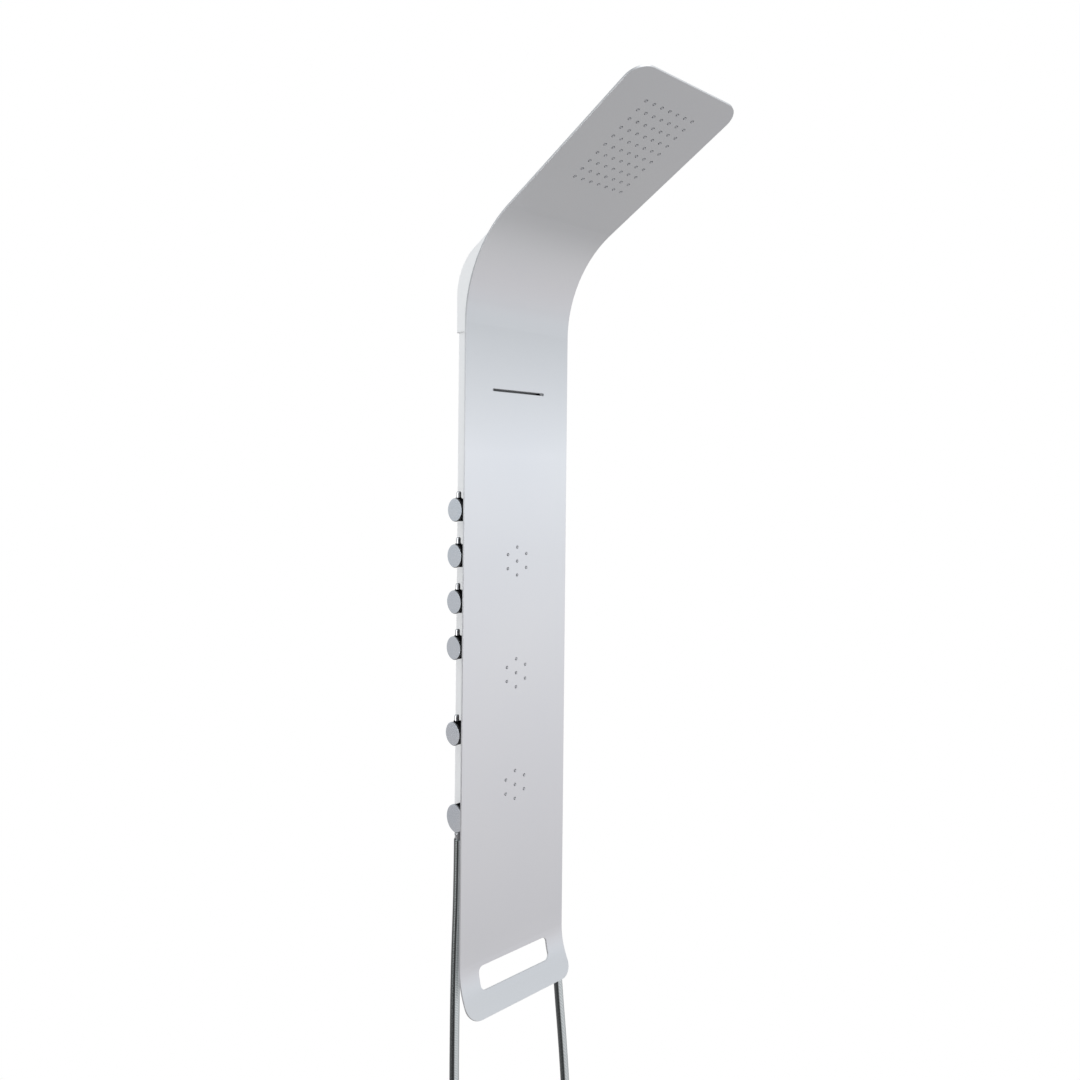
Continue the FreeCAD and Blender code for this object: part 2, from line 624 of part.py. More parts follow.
def column_housing():
    """A lipped channel: its lips lie on the sheet and its back hooks on the wall brackets."""
    shell = channel(SIDE_X, BACK_Y, HOUSING_REAR, HOUSING_BOTTOM, HOUSING_TOP, HOUSING_CORNER)
    inside = channel(SIDE_X - HOUSING_WALL, BACK_Y + HOUSING_WALL, HOUSING_REAR - HOUSING_WALL,
                     HOUSING_BOTTOM - 1, HOUSING_TOP + 1, HOUSING_CORNER - HOUSING_WALL)
    mouth_half = SIDE_X - LIP_WIDTH
    mouth = box(-mouth_half, mouth_half, BACK_Y - 1, BACK_Y + HOUSING_WALL + 1,
                HOUSING_BOTTOM - 1, HOUSING_TOP + 1)
    cuts = [inside, mouth]
    neck = NECK_RADIUS + SLIP
    cuts += [rod((-SIDE_X - 1, AXIS_Y, z), (1, 0, 0), neck, HOUSING_WALL + 2)
             for z in VALVE_Z + [MIXER_Z, OUTLET_Z]]
    for side in (-1, 1):
        place = (SIDE_X - HOUSING_WALL - 1, AXIS_Y, HOLDER_Z + side * HOLDER_STUD_OFFSET)
        cuts.append(rod(place, (1, 0, 0), STUD_RADIUS + SLIP, HOUSING_WALL + 2))
    for x, z in housing_stud_places():
        cuts.append(rod((x, BACK_Y - 1, z), (0, 1, 0), STUD_RADIUS + SLIP, HOUSING_WALL + 2))
    window_half = BRACKET_WIDTH / 2 + WINDOW_MARGIN
    for z in bracket_places():
        hook = z + BRACKET_HEIGHT / 2
        cuts.append(box(-window_half, window_half, HOUSING_REAR - HOUSING_WALL - 1, HOUSING_REAR + 1,
                        z - BRACKET_HEIGHT / 2 - WINDOW_DROP, hook))
    window_low = INLET_X[0] - INLET_NUT_FLATS / math.sqrt(3) - SUPPLY_WINDOW_MARGIN
    window_high = INLET_X[1] + INLET_NUT_FLATS / math.sqrt(3) + SUPPLY_WINDOW_MARGIN
    supply = rounded_plate(window_high - window_low, SUPPLY_WINDOW_HEIGHT, SUPPLY_WINDOW_MARGIN,
                           -HOUSING_DEPTH - SHEET - 1, -HOUSING_DEPTH - SHEET + HOUSING_WALL + 1,
                           ((window_low + window_high) / 2, 0))
    cuts.append(on_column(supply, INLET_Z))
    return shell.cut(cuts)


def cover_block(rear, depth, tip, half_width, face_depth, bottom, shoulder, tip_corner, edge):
    """The head cover's solid form: up the wall side, over the shoulder and along the head."""
    corner = head_point(head_along_at(rear, depth), depth)
    top, _ = rounded_path([(0, rear, bottom), tuple(corner), tuple(head_point(tip, depth))],
                          lambda run_in, run_out, turn: shoulder)
    bend = math.radians(HEAD_BEND)
    centre = V(0, FRONT_Y - HEAD_BEND_RADIUS, STRAIGHT_TOP)
    radius = HEAD_BEND_RADIUS + face_depth
    arc_low = centre + V(0, radius, 0)
    arc_middle = centre + V(0, radius * math.cos(bend / 2), radius * math.sin(bend / 2))
    arc_high = head_point(0, face_depth)
    tip_face = head_point(tip, face_depth)
    foot = V(0, FRONT_Y + face_depth, bottom)
    sides = [
        Part.LineSegment(head_point(tip, depth), tip_face).toShape(),
        Part.LineSegment(tip_face, arc_high).toShape(),
        Part.Arc(arc_high, arc_middle, arc_low).toShape(),
        Part.LineSegment(arc_low, foot).toShape(),
        Part.LineSegment(foot, V(0, rear, bottom)).toShape(),
    ]
    outline = Part.Wire(Part.__sortEdges__(top.Edges + sides))
    block = Part.Face(outline).extrude(V(2 * half_width, 0, 0))
    block.translate(V(-half_width, 0, 0))
    upright = head_point(0, 1) - head_point(0, 0)
    tip_middle = head_point(tip, (depth + face_depth) / 2)
    ends = [e for e in block.Edges
            if abs(abs(e.tangentAt(e.FirstParameter).dot(upright)) - 1) < 1e-6
            and abs((e.CenterOfMass - tip_middle).dot(V(0, 1, 0))) < 1e-3 and abs(e.CenterOfMass.x) > 1]
    block = block.makeFillet(tip_corner, ends)
    outer_faces = [f for f in block.Faces if is_outer(f, rear, depth)]
    rim = [e for f in outer_faces for e in f.Edges
           if sum(1 for g in outer_faces if any(e.isSame(h) for h in g.Edges)) == 1
           and e.CenterOfMass.z > bottom + 1]
    return block.makeFillet(edge, rim)


def is_outer(face, rear, depth):
    """True for the cover's wall side, shoulder and top faces."""
    spans = zip(face.ParameterRange[::2], face.ParameterRange[1::2])
    normal = face.normalAt(*[(low + high) / 2 for low, high in spans])
    if abs(normal.x) > 0.1:
        return False
    middle = face.CenterOfMass
    on_rear = abs(middle.y - rear) < 1e-3
    above = (middle - head_point(0, depth)).dot(head_point(0, 1) - head_point(0, 0))
    on_top = abs(above) < 1e-3
    is_round = face.Surface.TypeId == "Part::GeomCylinder"
    return on_rear or on_top or (is_round and middle.y > head_point(0, 0).y and is_behind_bend(middle))


def is_behind_bend(point):
    """True for a point that lies well behind the sheet's own bend."""
    centre = V(0, FRONT_Y - HEAD_BEND_RADIUS, STRAIGHT_TOP)
    return (V(0, point.y, point.z) - centre).Length > HEAD_BEND_RADIUS + SHEET + COVER_EDGE


def head_cover():
    """A thin formed tray that closes the head and laps over the top of the column housing."""
    tip = HEAD_LENGTH - COVER_TIP_INSET
    bottom = HOUSING_TOP - COVER_LAP
    outer = cover_block(COVER_REAR, COVER_TOP_DEPTH, tip, COVER_HALF, SHEET, bottom, SHOULDER_RADIUS,
                        COVER_TIP_CORNER, COVER_EDGE)
    inner = cover_block(COVER_REAR - COVER_WALL, COVER_TOP_DEPTH - COVER_WALL, tip - COVER_WALL,
                        COVER_HALF - COVER_WALL, SHEET - 1, bottom - 1, SHOULDER_RADIUS - COVER_WALL,
                        COVER_TIP_CORNER - COVER_WALL, COVER_EDGE - COVER_WALL)
    holes = [on_head(rod((x, y, -SHEET), (0, 0, -1), STUD_RADIUS + SLIP, 2 * COVER_HEIGHT))
             for x, y in standoff_places()]
    return outer.cut([inner] + holes)


def cover_standoffs():
    height = COVER_HEIGHT - COVER_WALL
    pillars = []
    for x, y in standoff_places():
        pillar = rod((x, y, -SHEET), (0, 0, -1), STANDOFF_RADIUS, height)
        thread = rod((x, y, -SHEET - height), (0, 0, 1), STUD_RADIUS + FIT, SCREW_DEPTH + 1)
        pillars.append(on_head(pillar.cut(thread)))
    return pillars


def cover_screws():
    seat = -COVER_TOP_DEPTH
    screws = []
    for x, y in standoff_places():
        head = rod((x, y, seat), (0, 0, -1), SCREW_HEAD_RADIUS, SCREW_HEAD)
        shank = rod((x, y, seat), (0, 0, 1), STUD_RADIUS, COVER_WALL + SCREW_DEPTH)
        screws.append(on_head(head.fuse(shank)))
    return screws


def bottom_cap():
    """Closes the housing's lower end: a plate with drain slots and a rim inside the channel."""
    low = HOUSING_BOTTOM - CAP_PLATE
    plate = channel(SIDE_X, BACK_Y, HOUSING_REAR, low, HOUSING_BOTTOM, HOUSING_CORNER)
    wall = HOUSING_WALL + SLIP / 2
    top = HOUSING_BOTTOM + CAP_RIM
    rim = channel(SIDE_X - wall, BACK_Y + wall, HOUSING_REAR - wall, HOUSING_BOTTOM, top,
                  HOUSING_CORNER - HOUSING_WALL)
    room = wall + CAP_RIM_WALL
    hollow = box(-SIDE_X + room, SIDE_X - room, BACK_Y + room, HOUSING_REAR - room, HOUSING_BOTTOM, top)
    slots = []
    for i in range(CAP_SLOTS):
        x = (i - (CAP_SLOTS - 1) / 2) * CAP_SLOT_PITCH
        slots.append(box(x - CAP_SLOT_WIDTH / 2, x + CAP_SLOT_WIDTH / 2, AXIS_Y - CAP_SLOT_LENGTH / 2,
                         AXIS_Y + CAP_SLOT_LENGTH / 2, low, HOUSING_BOTTOM))
    return plate.fuse(rim).cut([hollow] + slots)


# ---- wall brackets ------------------------------------------------------------------------
def wall_bracket(z):
    """A Z-shaped hook plate: screwed to the wall, its tongue holds the housing's back."""
    hook = z + BRACKET_HEIGHT / 2
    low = z - BRACKET_HEIGHT / 2
    tongue_rear = HOUSING_REAR - HOUSING_WALL - SLIP
    tongue_front = tongue_rear - BRACKET_PLATE
    outline = [
        (0, low), (0, hook), (tongue_rear, hook), (tongue_rear, hook + BRACKET_TONGUE),
        (tongue_front, hook + BRACKET_TONGUE), (tongue_front, hook - BRACKET_PLATE),
        (-BRACKET_PLATE, hook - BRACKET_PLATE), (-BRACKET_PLATE, low), (0, low),
    ]
    half = BRACKET_WIDTH / 2
    profile = Part.makePolygon([V(-half, y, level) for y, level in outline])
    plate = Part.Face(profile).extrude(V(BRACKET_WIDTH, 0, 0))
    holes = [rod((side * BRACKET_HOLE_SPACING / 2, -BRACKET_PLATE - 1, z), (0, 1, 0), BRACKET_HOLE / 2,
                 BRACKET_PLATE + 2) for side in (-1, 1)]
    return plate.cut(holes)


# ---- valves and knobs ---------------------------------------------------------------------
def stop_valve(z):
    """A valve cartridge: plug in the manifold, hexagon against the wall, neck through it."""
    wall_face = -SIDE_X + HOUSING_WALL
    plug = rod((VALVE_SEAT_X, AXIS_Y, z), (1, 0, 0), PLUG_RADIUS, PLUG_LENGTH)
    flange = hexagon((wall_face, AXIS_Y, z), (1, 0, 0), VALVE_FLATS, VALVE_FLANGE, 0)
    neck = rod((NECK_END, AXIS_Y, z), (1, 0, 0), NECK_RADIUS, wall_face - NECK_END)
    return plug.fuse([flange, neck]).cut(spindle_bore(z))


def spindle_bore(z):
    return rod((NECK_END - 1, AXIS_Y, z), (1, 0, 0), SPINDLE_RADIUS + RUNNING, SPINDLE_IN_VALVE + 1 + SLIP)


def thermostatic_mixer():
    """The mixer's body: the same neck, a barrel across the housing and three spigots."""
    wall_face = -SIDE_X + HOUSING_WALL
    outline = [
        (NECK_END, 0), (NECK_END, NECK_RADIUS), (wall_face, NECK_RADIUS), (wall_face, MIXER_RADIUS),
        (MIXER_END - MIXER_DOME, MIXER_RADIUS), (MIXER_END, MIXER_RADIUS - MIXER_DOME), (MIXER_END, 0),
    ]
    barrel = turned(outline, (0, AXIS_Y, MIXER_Z), (1, 0, 0))
    reach = MIXER_RADIUS + SPIGOT_LENGTH
    spigots = [rod((x, AXIS_Y, MIXER_Z), (0, 0, -1), INLET_RADIUS, reach) for x in INLET_X]
    spigots.append(rod((MANIFOLD_X, AXIS_Y, MIXER_Z), (0, 0, 1), FEED_RADIUS, reach))
    ways = [rod((x, AXIS_Y, MIXER_Z), (0, 0, -1), INLET_RADIUS - INLET_WALL, reach) for x in INLET_X]
    ways.append(rod((MANIFOLD_X, AXIS_Y, MIXER_Z), (0, 0, 1), FEED_RADIUS - PIPE_WALL, reach))
    return barrel.fuse(spigots).cut(ways + [spindle_bore(MIXER_Z)])


def neck_lock_nuts():
    """Round nuts that clamp each neck to the housing's side, from outside."""
    nuts = []
    for z in VALVE_Z + [MIXER_Z]:
        nut = rod((NECK_END, AXIS_Y, z), (1, 0, 0), NECK_NUT_RADIUS, NECK_LENGTH)
        nuts.append(nut.cut(rod((NECK_END, AXIS_Y, z), (1, 0, 0), NECK_RADIUS + FIT, NECK_LENGTH)))
    return nuts


def spindle(z):
    start = NECK_END + SPINDLE_IN_VALVE
    length = start - (KNOB_REAR - SPINDLE_IN_KNOB)
    return rod((start, AXIS_Y, z), (-1, 0, 0), SPINDLE_RADIUS, length)


def knob(z):
    """Black grip: bored for the spindle behind and for the cap, with a boss under the lever."""
    chamfer = KNOB_CHAMFER
    outline = [
        (KNOB_REAR, 0), (KNOB_REAR, KNOB_RADIUS - chamfer), (KNOB_REAR - chamfer, KNOB_RADIUS),
        (KNOB_FRONT, KNOB_RADIUS), (KNOB_FRONT, 0),
    ]
    body = turned(outline, (0, AXIS_Y, z), (1, 0, 0))
    body = body.fuse(rod((lever_x(), AXIS_Y, z + LEVER_SEAT), (0, 0, 1), LEVER_RADIUS + LEVER_BOSS_WALL,
                         KNOB_RADIUS - LEVER_SEAT + LEVER_BOSS))
    bore = rod((KNOB_REAR, AXIS_Y, z), (-1, 0, 0), SPINDLE_RADIUS + FIT, SPINDLE_IN_KNOB)
    recess = rod((KNOB_FRONT, AXIS_Y, z), (1, 0, 0), KNOB_CAP_SPIGOT + FIT, KNOB_CAP_SPIGOT_LENGTH + SLIP)
    seat = rod((lever_x(), AXIS_Y, z + LEVER_SEAT), (0, 0, 1), LEVER_RADIUS + FIT, KNOB_RADIUS)
    return body.cut([bore, recess, seat])


def knob_cap(z):
    return face_disc(KNOB_FRONT, z, KNOB_CAP_RADIUS)


def face_disc(seat, z, radius):
    """A thin polished disc with a bevelled rim, and a spigot behind it."""
    front = seat - KNOB_CAP
    spigot_end = seat + KNOB_CAP_SPIGOT_LENGTH
    outline = [
        (front, 0), (front, radius - KNOB_CAP_EDGE), (front + KNOB_CAP_EDGE, radius), (seat, radius),
        (seat, KNOB_CAP_SPIGOT), (spigot_end, KNOB_CAP_SPIGOT), (spigot_end, 0),
    ]
    return turned(outline, (0, AXIS_Y, z), (1, 0, 0))


def lever_x():
    """The lever's boss stands just behind the cap."""
    return KNOB_FRONT + SLIP + LEVER_BOSS_WALL + LEVER_RADIUS


def lever(z):
    """A round pin that stands up from the grip, with a rounded end."""
    pin = rod((lever_x(), AXIS_Y, z + LEVER_SEAT), (0, 0, 1), LEVER_RADIUS, LEVER_TIP - LEVER_SEAT)
    top = [e for e in pin.Edges
           if e.Curve.TypeId == "Part::GeomCircle" and e.CenterOfMass.z > z + LEVER_TIP - 1e-3]
    return pin.makeFillet(LEVER_RADIUS * LEVER_ROUND_SHARE, top)


# ---- hose outlet --------------------------------------------------------------------------
def outlet_body():
    """Fixed black body of the hose outlet, with its shank through the housing's side."""
    outline = [
        (OUTLET_FRONT, 0), (OUTLET_FRONT, OUTLET_BODY_RADIUS), (-SIDE_X - KNOB_CHAMFER, OUTLET_BODY_RADIUS),
        (-SIDE_X, OUTLET_BODY_RADIUS - KNOB_CHAMFER), (-SIDE_X, NECK_RADIUS), (VALVE_SEAT_X, NECK_RADIUS),
        (VALVE_SEAT_X, 0),
    ]
    body = turned(outline, (0, AXIS_Y, OUTLET_Z), (1, 0, 0))
    stem_seat = rod((OUTLET_STEM_X, AXIS_Y, OUTLET_Z - OUTLET_STEM_SEAT), (0, 0, -1),
                    OUTLET_STEM_RADIUS + FIT, OUTLET_BODY_RADIUS)
    recess = rod((OUTLET_FRONT, AXIS_Y, OUTLET_Z), (1, 0, 0), KNOB_CAP_SPIGOT + FIT,
                 KNOB_CAP_SPIGOT_LENGTH + SLIP)
    way_in = rod((VALVE_SEAT_X, AXIS_Y, OUTLET_Z), (-1, 0, 0), PIPE_BORE, VALVE_SEAT_X - OUTLET_STEM_X)
    way_down = rod((OUTLET_STEM_X, AXIS_Y, OUTLET_Z), (0, 0, -1), PIPE_BORE, OUTLET_STEM_SEAT)
    return body.cut([stem_seat, recess, way_in, way_down])


def outlet_disc():
    return face_disc(OUTLET_FRONT, OUTLET_Z, OUTLET_DISC_RADIUS)


def outlet_stem():
    """Short chrome stem under the outlet, with a round collar above the hose."""
    top = -OUTLET_STEM_SEAT
    low = -OUTLET_STEM_REACH
    collar = OUTLET_COLLAR_RADIUS
    middle = -OUTLET_COLLAR_DROP
    swell = (collar - OUTLET_STEM_RADIUS) * 2
    outline = [
        (top, PIPE_BORE), (top, OUTLET_STEM_RADIUS), (middle + swell, OUTLET_STEM_RADIUS),
        (middle + swell / 2, collar), (middle - swell / 2, collar), (middle - swell, OUTLET_STEM_RADIUS),
        (low, OUTLET_STEM_RADIUS), (low, PIPE_BORE),
    ]
    return turned(outline, (OUTLET_STEM_X, AXIS_Y, OUTLET_Z), (0, 0, 1))


def outlet_lock_nut():
    """Hexagon nut that pulls the outlet's shank tight from inside the housing."""
    inner_wall = -SIDE_X + HOUSING_WALL
    return hexagon((inner_wall, AXIS_Y, OUTLET_Z), (1, 0, 0), VALVE_FLATS, NECK_LENGTH, NECK_RADIUS + FIT)


# ---- brass manifold and pipes -------------------------------------------------------------
def valve_manifold():
    """A brass bar with a boss for each stop valve, a spigot for each outlet and one inlet."""
    low = VALVE_Z[-1] - MANIFOLD_END
    high = VALVE_Z[0] + MANIFOLD_END
    bar = rod((MANIFOLD_X, AXIS_Y, low), (0, 0, 1), MANIFOLD_RADIUS, high - low)
    outer = []
    inner = [rod((MANIFOLD_X, AXIS_Y, low - SPIGOT_LENGTH - 1), (0, 0, 1), FEED_RADIUS - PIPE_WALL,
                 MANIFOLD_END),
             rod((MANIFOLD_X, AXIS_Y, low + MANIFOLD_END_WALL), (0, 0, 1), MANIFOLD_BORE,
                 high - low - 2 * MANIFOLD_END_WALL)]
    for z in VALVE_Z:
        outer.append(rod((VALVE_SEAT_X, AXIS_Y, z), (1, 0, 0), MANIFOLD_RADIUS, MANIFOLD_X - VALVE_SEAT_X))
        outer.append(rod((MANIFOLD_X, AXIS_Y, z), (1, 0, 0), PIPE_RADIUS, MANIFOLD_SPIGOT_END - MANIFOLD_X))
        inner.append(rod((VALVE_SEAT_X, AXIS_Y, z), (1, 0, 0), PLUG_RADIUS + FIT, MANIFOLD_X - VALVE_SEAT_X))
        inner.append(rod((MANIFOLD_X, AXIS_Y, z), (1, 0, 0), PIPE_BORE, MANIFOLD_SPIGOT_END - MANIFOLD_X))
    outer.append(rod((MANIFOLD_X, AXIS_Y, low - SPIGOT_LENGTH), (0, 0, 1), FEED_RADIUS, SPIGOT_LENGTH))
    return bar.fuse(outer).cut(inner)


def feed_pipe():
    """From the mixer up to the manifold."""
    low = MIXER_Z + MIXER_RADIUS + SPIGOT_LENGTH
    high = VALVE_Z[-1] - MANIFOLD_END - SPIGOT_LENGTH
    outer = rod((MANIFOLD_X, AXIS_Y, low), (0, 0, 1), FEED_RADIUS, high - low)
    return outer.cut(rod((MANIFOLD_X, AXIS_Y, low), (0, 0, 1), FEED_RADIUS - PIPE_WALL, high - low))


def rain_pipe():
    """Up the housing, round the shoulder and into the rain chamber's lower end."""
    z = VALVE_Z[0]
    end_along = RAIN_CENTRE - CHAMBER_HALF_S - SPIGOT_LENGTH
    shoulder = head_point(head_along_at(AXIS_Y, RAIN_INLET_DEPTH), RAIN_INLET_DEPTH, RAIN_PIPE_X)
    lower = [(MANIFOLD_SPIGOT_END, AXIS_Y, z), (RAIN_PIPE_X, AXIS_Y, z)]
    upper = [tuple(shoulder), tuple(head_point(end_along, RAIN_INLET_DEPTH, RAIN_PIPE_X))]

    def bend(run_in, run_out, turn):
        return PIPE_BEND if run_in < PIPE_BEND * 3 else RAIN_PIPE_SWEEP

    path, _ = rounded_path(lower + upper, bend)
    return swept(path, PIPE_RADIUS).cut(swept(path, PIPE_BORE))


def waterfall_pipe():
    z = VALVE_Z[1]
    y = BACK_Y + WATERFALL_BODY_DEPTH / 2
    end = WATERFALL_Z - WATERFALL_BODY_HEIGHT / 2 - SPIGOT_LENGTH
    x = WATERFALL_INLET_X
    return pipe([(MANIFOLD_SPIGOT_END, AXIS_Y, z), (x, AXIS_Y, z), (x, y, z + WATERFALL_RISE), (x, y, end)])


def jet_header():
    """One upright pipe with a stub to each jet, fed from the third stop valve."""
    z = VALVE_Z[2]
    y = BACK_Y + JET_CUP_DEPTH / 2
    step = abs(y - AXIS_Y)
    feed = [(MANIFOLD_SPIGOT_END, AXIS_Y, z), (JET_HEADER_X - step, AXIS_Y, z), (JET_HEADER_X, y, z)]
    path, _ = rounded_path(feed, lambda run_in, run_out, turn: PIPE_BEND)
    low = JET_PLACES[-1] - PIPE_RADIUS
    high = JET_PLACES[0] + PIPE_RADIUS
    outer = swept(path, PIPE_RADIUS).fuse([rod((JET_HEADER_X, y, low), (0, 0, 1), PIPE_RADIUS, high - low)])
    inner = swept(path, PIPE_BORE).fuse([rod((JET_HEADER_X, y, low + PIPE_WALL), (0, 0, 1), PIPE_BORE,
                                             high - low - 2 * PIPE_WALL)])
    ports = [rod((JET_HEADER_X - PIPE_RADIUS, y, place), (1, 0, 0), JET_STUB_RADIUS - PIPE_WALL, PIPE_RADIUS)
             for place in JET_PLACES]
    collars = [rod((JET_HEADER_X - PIPE_RADIUS, y, place), (1, 0, 0), JET_STUB_RADIUS, PIPE_RADIUS)
               for place in JET_PLACES]
    return outer.fuse(collars).cut([inner] + ports)


def hand_shower_pipe():
    z = VALVE_Z[3]
    return pipe([(MANIFOLD_SPIGOT_END, AXIS_Y, z), (HAND_PIPE_X, AXIS_Y, z), (HAND_PIPE_X, AXIS_Y, OUTLET_Z),
                 (VALVE_SEAT_X, AXIS_Y, OUTLET_Z)])


def inlet_tubes():
    """Hot and cold: down from the mixer, then back towards the wall."""
    top = MIXER_Z - MIXER_RADIUS - SPIGOT_LENGTH
    rear = HOUSING_REAR - INLET_NUT_LENGTH + INLET_NUT_FLOOR
    routes = [[(x, AXIS_Y, top), (x, AXIS_Y, INLET_Z), (x, rear, INLET_Z)] for x in INLET_X]
    return [pipe(route, INLET_BEND, INLET_RADIUS, INLET_WALL) for route in routes]


def inlet_nuts():
    """Union nuts for the two supplies, their threads open towards the wall."""
    nuts = []
    for x in INLET_X:
        start = HOUSING_REAR - INLET_NUT_LENGTH
        nut = hexagon((x, start, INLET_Z), (0, 1, 0), INLET_NUT_FLATS, INLET_NUT_LENGTH, INLET_RADIUS + FIT)
        thread = rod((x, start + INLET_NUT_FLOOR, INLET_Z), (0, 1, 0), INLET_THREAD_RADIUS,
                     INLET_NUT_LENGTH - INLET_NUT_FLOOR)
        nuts.append(nut.cut(thread))
    return nuts


def all_stud_nuts():
    """Every small nut: on the chamber, the jets, the housing's lips and the holder's studs."""
    nuts = [on_head(n) for n in stud_nuts(ear_places(), -SHEET - EAR_THICKNESS)]
    for z in JET_PLACES:
        nuts += [on_column(n, z) for n in stud_nuts(jet_stud_places(), -SHEET - JET_FLANGE)]
    nuts += [on_column(n, 0) for n in stud_nuts(housing_stud_places(), -SHEET - HOUSING_WALL)]
    for side in (-1, 1):
        place = (SIDE_X - HOUSING_WALL, AXIS_Y, HOLDER_Z + side * HOLDER_STUD_OFFSET)
        nuts.append(hexagon(place, (-1, 0, 0), STUD_NUT_FLATS, STUD_NUT, STUD_RADIUS + FIT))
    return nuts


# ---- hand shower --------------------------------------------------------------------------
def cone_radius(z):
    share = (z - CONE_BASE) / CONE_HEIGHT
    return CONE_BOTTOM + (CONE_TOP - CONE_BOTTOM) * share


def handset_holder():
    """A slotted cup on a short arm: the hose's conical nut drops into it from above."""
    low = HOLDER_Z - HOLDER_HEIGHT / 2
    cup = rod((HANDSET_X, AXIS_Y, low), (0, 0, 1), HOLDER_RADIUS, HOLDER_HEIGHT)
    arm = rod((SIDE_X, AXIS_Y, HOLDER_Z), (1, 0, 0), HOLDER_ARM_RADIUS, HANDSET_REACH)
    flange = rod((SIDE_X, AXIS_Y, HOLDER_Z), (1, 0, 0), HOLDER_FLANGE_RADIUS, HOLDER_FLANGE)
    fixing_length = HOUSING_WALL + STUD_LENGTH - HOLDER_FLANGE
    heights = [HOLDER_Z + side * HOLDER_STUD_OFFSET for side in (-1, 1)]
    fixings = [rod((SIDE_X, AXIS_Y, z), (-1, 0, 0), STUD_RADIUS, fixing_length) for z in heights]
    bore_low = cone_radius(low) + CONE_SEAT_GAP
    bore_high = cone_radius(low + HOLDER_HEIGHT) + CONE_SEAT_GAP
    bore = Part.makeCone(bore_low, bore_high, HOLDER_HEIGHT, V(HANDSET_X, AXIS_Y, low))
    slot = box(HANDSET_X, HANDSET_X + HOLDER_RADIUS + 1, AXIS_Y - HOLDER_SLOT / 2, AXIS_Y + HOLDER_SLOT / 2,
               low - 1, low + HOLDER_HEIGHT + 1)
    return cup.fuse([arm, flange] + fixings).cut([bore, slot])


def handset_hose_nut():
    """The hose's conical nut, which seats in the holder and screws on the hand shower."""
    thread_low = CONE_HEIGHT - HANDSET_THREAD_LENGTH - SLIP
    outline = [
        (0, PIPE_BORE), (0, CONE_BOTTOM), (CONE_HEIGHT, CONE_TOP), (CONE_HEIGHT, HANDSET_THREAD + FIT),
        (thread_low, HANDSET_THREAD + FIT), (thread_low, PIPE_BORE),
    ]
    return turned(outline, (HANDSET_X, AXIS_Y, CONE_BASE), (0, 0, 1))


def spray_middle():
    return HANDSET_LENGTH - HANDSET_CROWN - SPRAY_LENGTH / 2


def handset_body():
    """A slim baton: threaded foot, swelling grip, domed crown and a flat for the spray plate."""
    outline = [
        (-HANDSET_THREAD_LENGTH, HANDSET_BORE), (-HANDSET_THREAD_LENGTH, HANDSET_THREAD), (0, HANDSET_THREAD),
        (0, HANDSET_GRIP_RADIUS), (HANDSET_GRIP_LENGTH, HANDSET_HEAD_RADIUS),
        (HANDSET_LENGTH, HANDSET_HEAD_RADIUS), (HANDSET_LENGTH, 0), (HANDSET_LENGTH - HANDSET_CROWN, 0),
        (HANDSET_LENGTH - HANDSET_CROWN, HANDSET_BORE),
    ]
    body = turned(outline, (HANDSET_X, AXIS_Y, HANDSET_BASE), (0, 0, 1))
    crown = [e for e in body.Edges if e.Curve.TypeId == "Part::GeomCircle"
             and abs(e.CenterOfMass.z - HANDSET_BASE - HANDSET_LENGTH) < 1e-3]
    body = body.makeFillet(HANDSET_CROWN_ROUND, crown)
    middle = HANDSET_BASE + spray_middle()
    reach = HANDSET_X + SPRAY_FLAT
    flat = box(reach, reach + HANDSET_HEAD_RADIUS, AXIS_Y - HANDSET_HEAD_RADIUS, AXIS_Y + HANDSET_HEAD_RADIUS,
               middle - SPRAY_LENGTH / 2, middle + SPRAY_LENGTH / 2)
    pocket = spray_outline(SPRAY_PLATE - SPRAY_PROUD, FIT, reach)
    return body.cut([flat, pocket])


def spray_outline(depth, margin, front):
    """The spray plate's rounded outline, sunk by a depth behind a plane square to X."""
    plate = rounded_plate(SPRAY_PLATE_WIDTH + 2 * margin, SPRAY_PLATE_LENGTH + 2 * margin, SPRAY_PLATE_CORNER,
                          -depth, 0)
    plate.Placement = FreeCAD.Placement(V(front, AXIS_Y, HANDSET_BASE + spray_middle()),
                                        FreeCAD.Rotation(V(0, 1, 0), V(0, 0, 1), V(1, 0, 0)))
    return plate


def handset_spray_plate():
    """Soft plate with rows of small nozzles, set in the baton's flat."""
    front = HANDSET_X + SPRAY_FLAT + SPRAY_PROUD
    plate = spray_outline(SPRAY_PLATE, 0, front)
    middle = HANDSET_BASE + spray_middle()
    nubs = [rod((front, AXIS_Y + y, middle + z), (1, 0, 0), SPRAY_NUB_RADIUS, SPRAY_NUB_RADIUS)
            for y, z in grid(SPRAY_COLUMNS, SPRAY_PITCH_Y, SPRAY_ROWS, SPRAY_PITCH_Z)]
    return plate.fuse(nubs)


# ---- shower hose --------------------------------------------------------------------------
def hose_arc(run_in, run_out, turn):
    """Each bend is as large as its two runs allow."""
    return HOSE_BEND_SHARE * min(run_in, run_out) / math.tan(turn / 2)


def shower_hose():
    start = (OUTLET_STEM_X, OUTLET_Z - OUTLET_STEM_REACH)
    route = [start] + HOSE_LEFT_LEG + HOSE_LOOP + HOSE_RIGHT_LEG + [(HANDSET_X, CONE_BASE)]
    path, radii = rounded_path([(x, AXIS_Y, z) for x, z in route], hose_arc)
    hose = swept(path, HOSE_DIAMETER / 2)
    section = math.pi * HOSE_DIAMETER ** 2 / 4
    print("hose length %.1f" % path.Length)
    print("hose volume / (section x length) %.4f" % (hose.Volume / (section * path.Length)))
    print("hose bend radii", [round(r) for r in radii])
    return hose


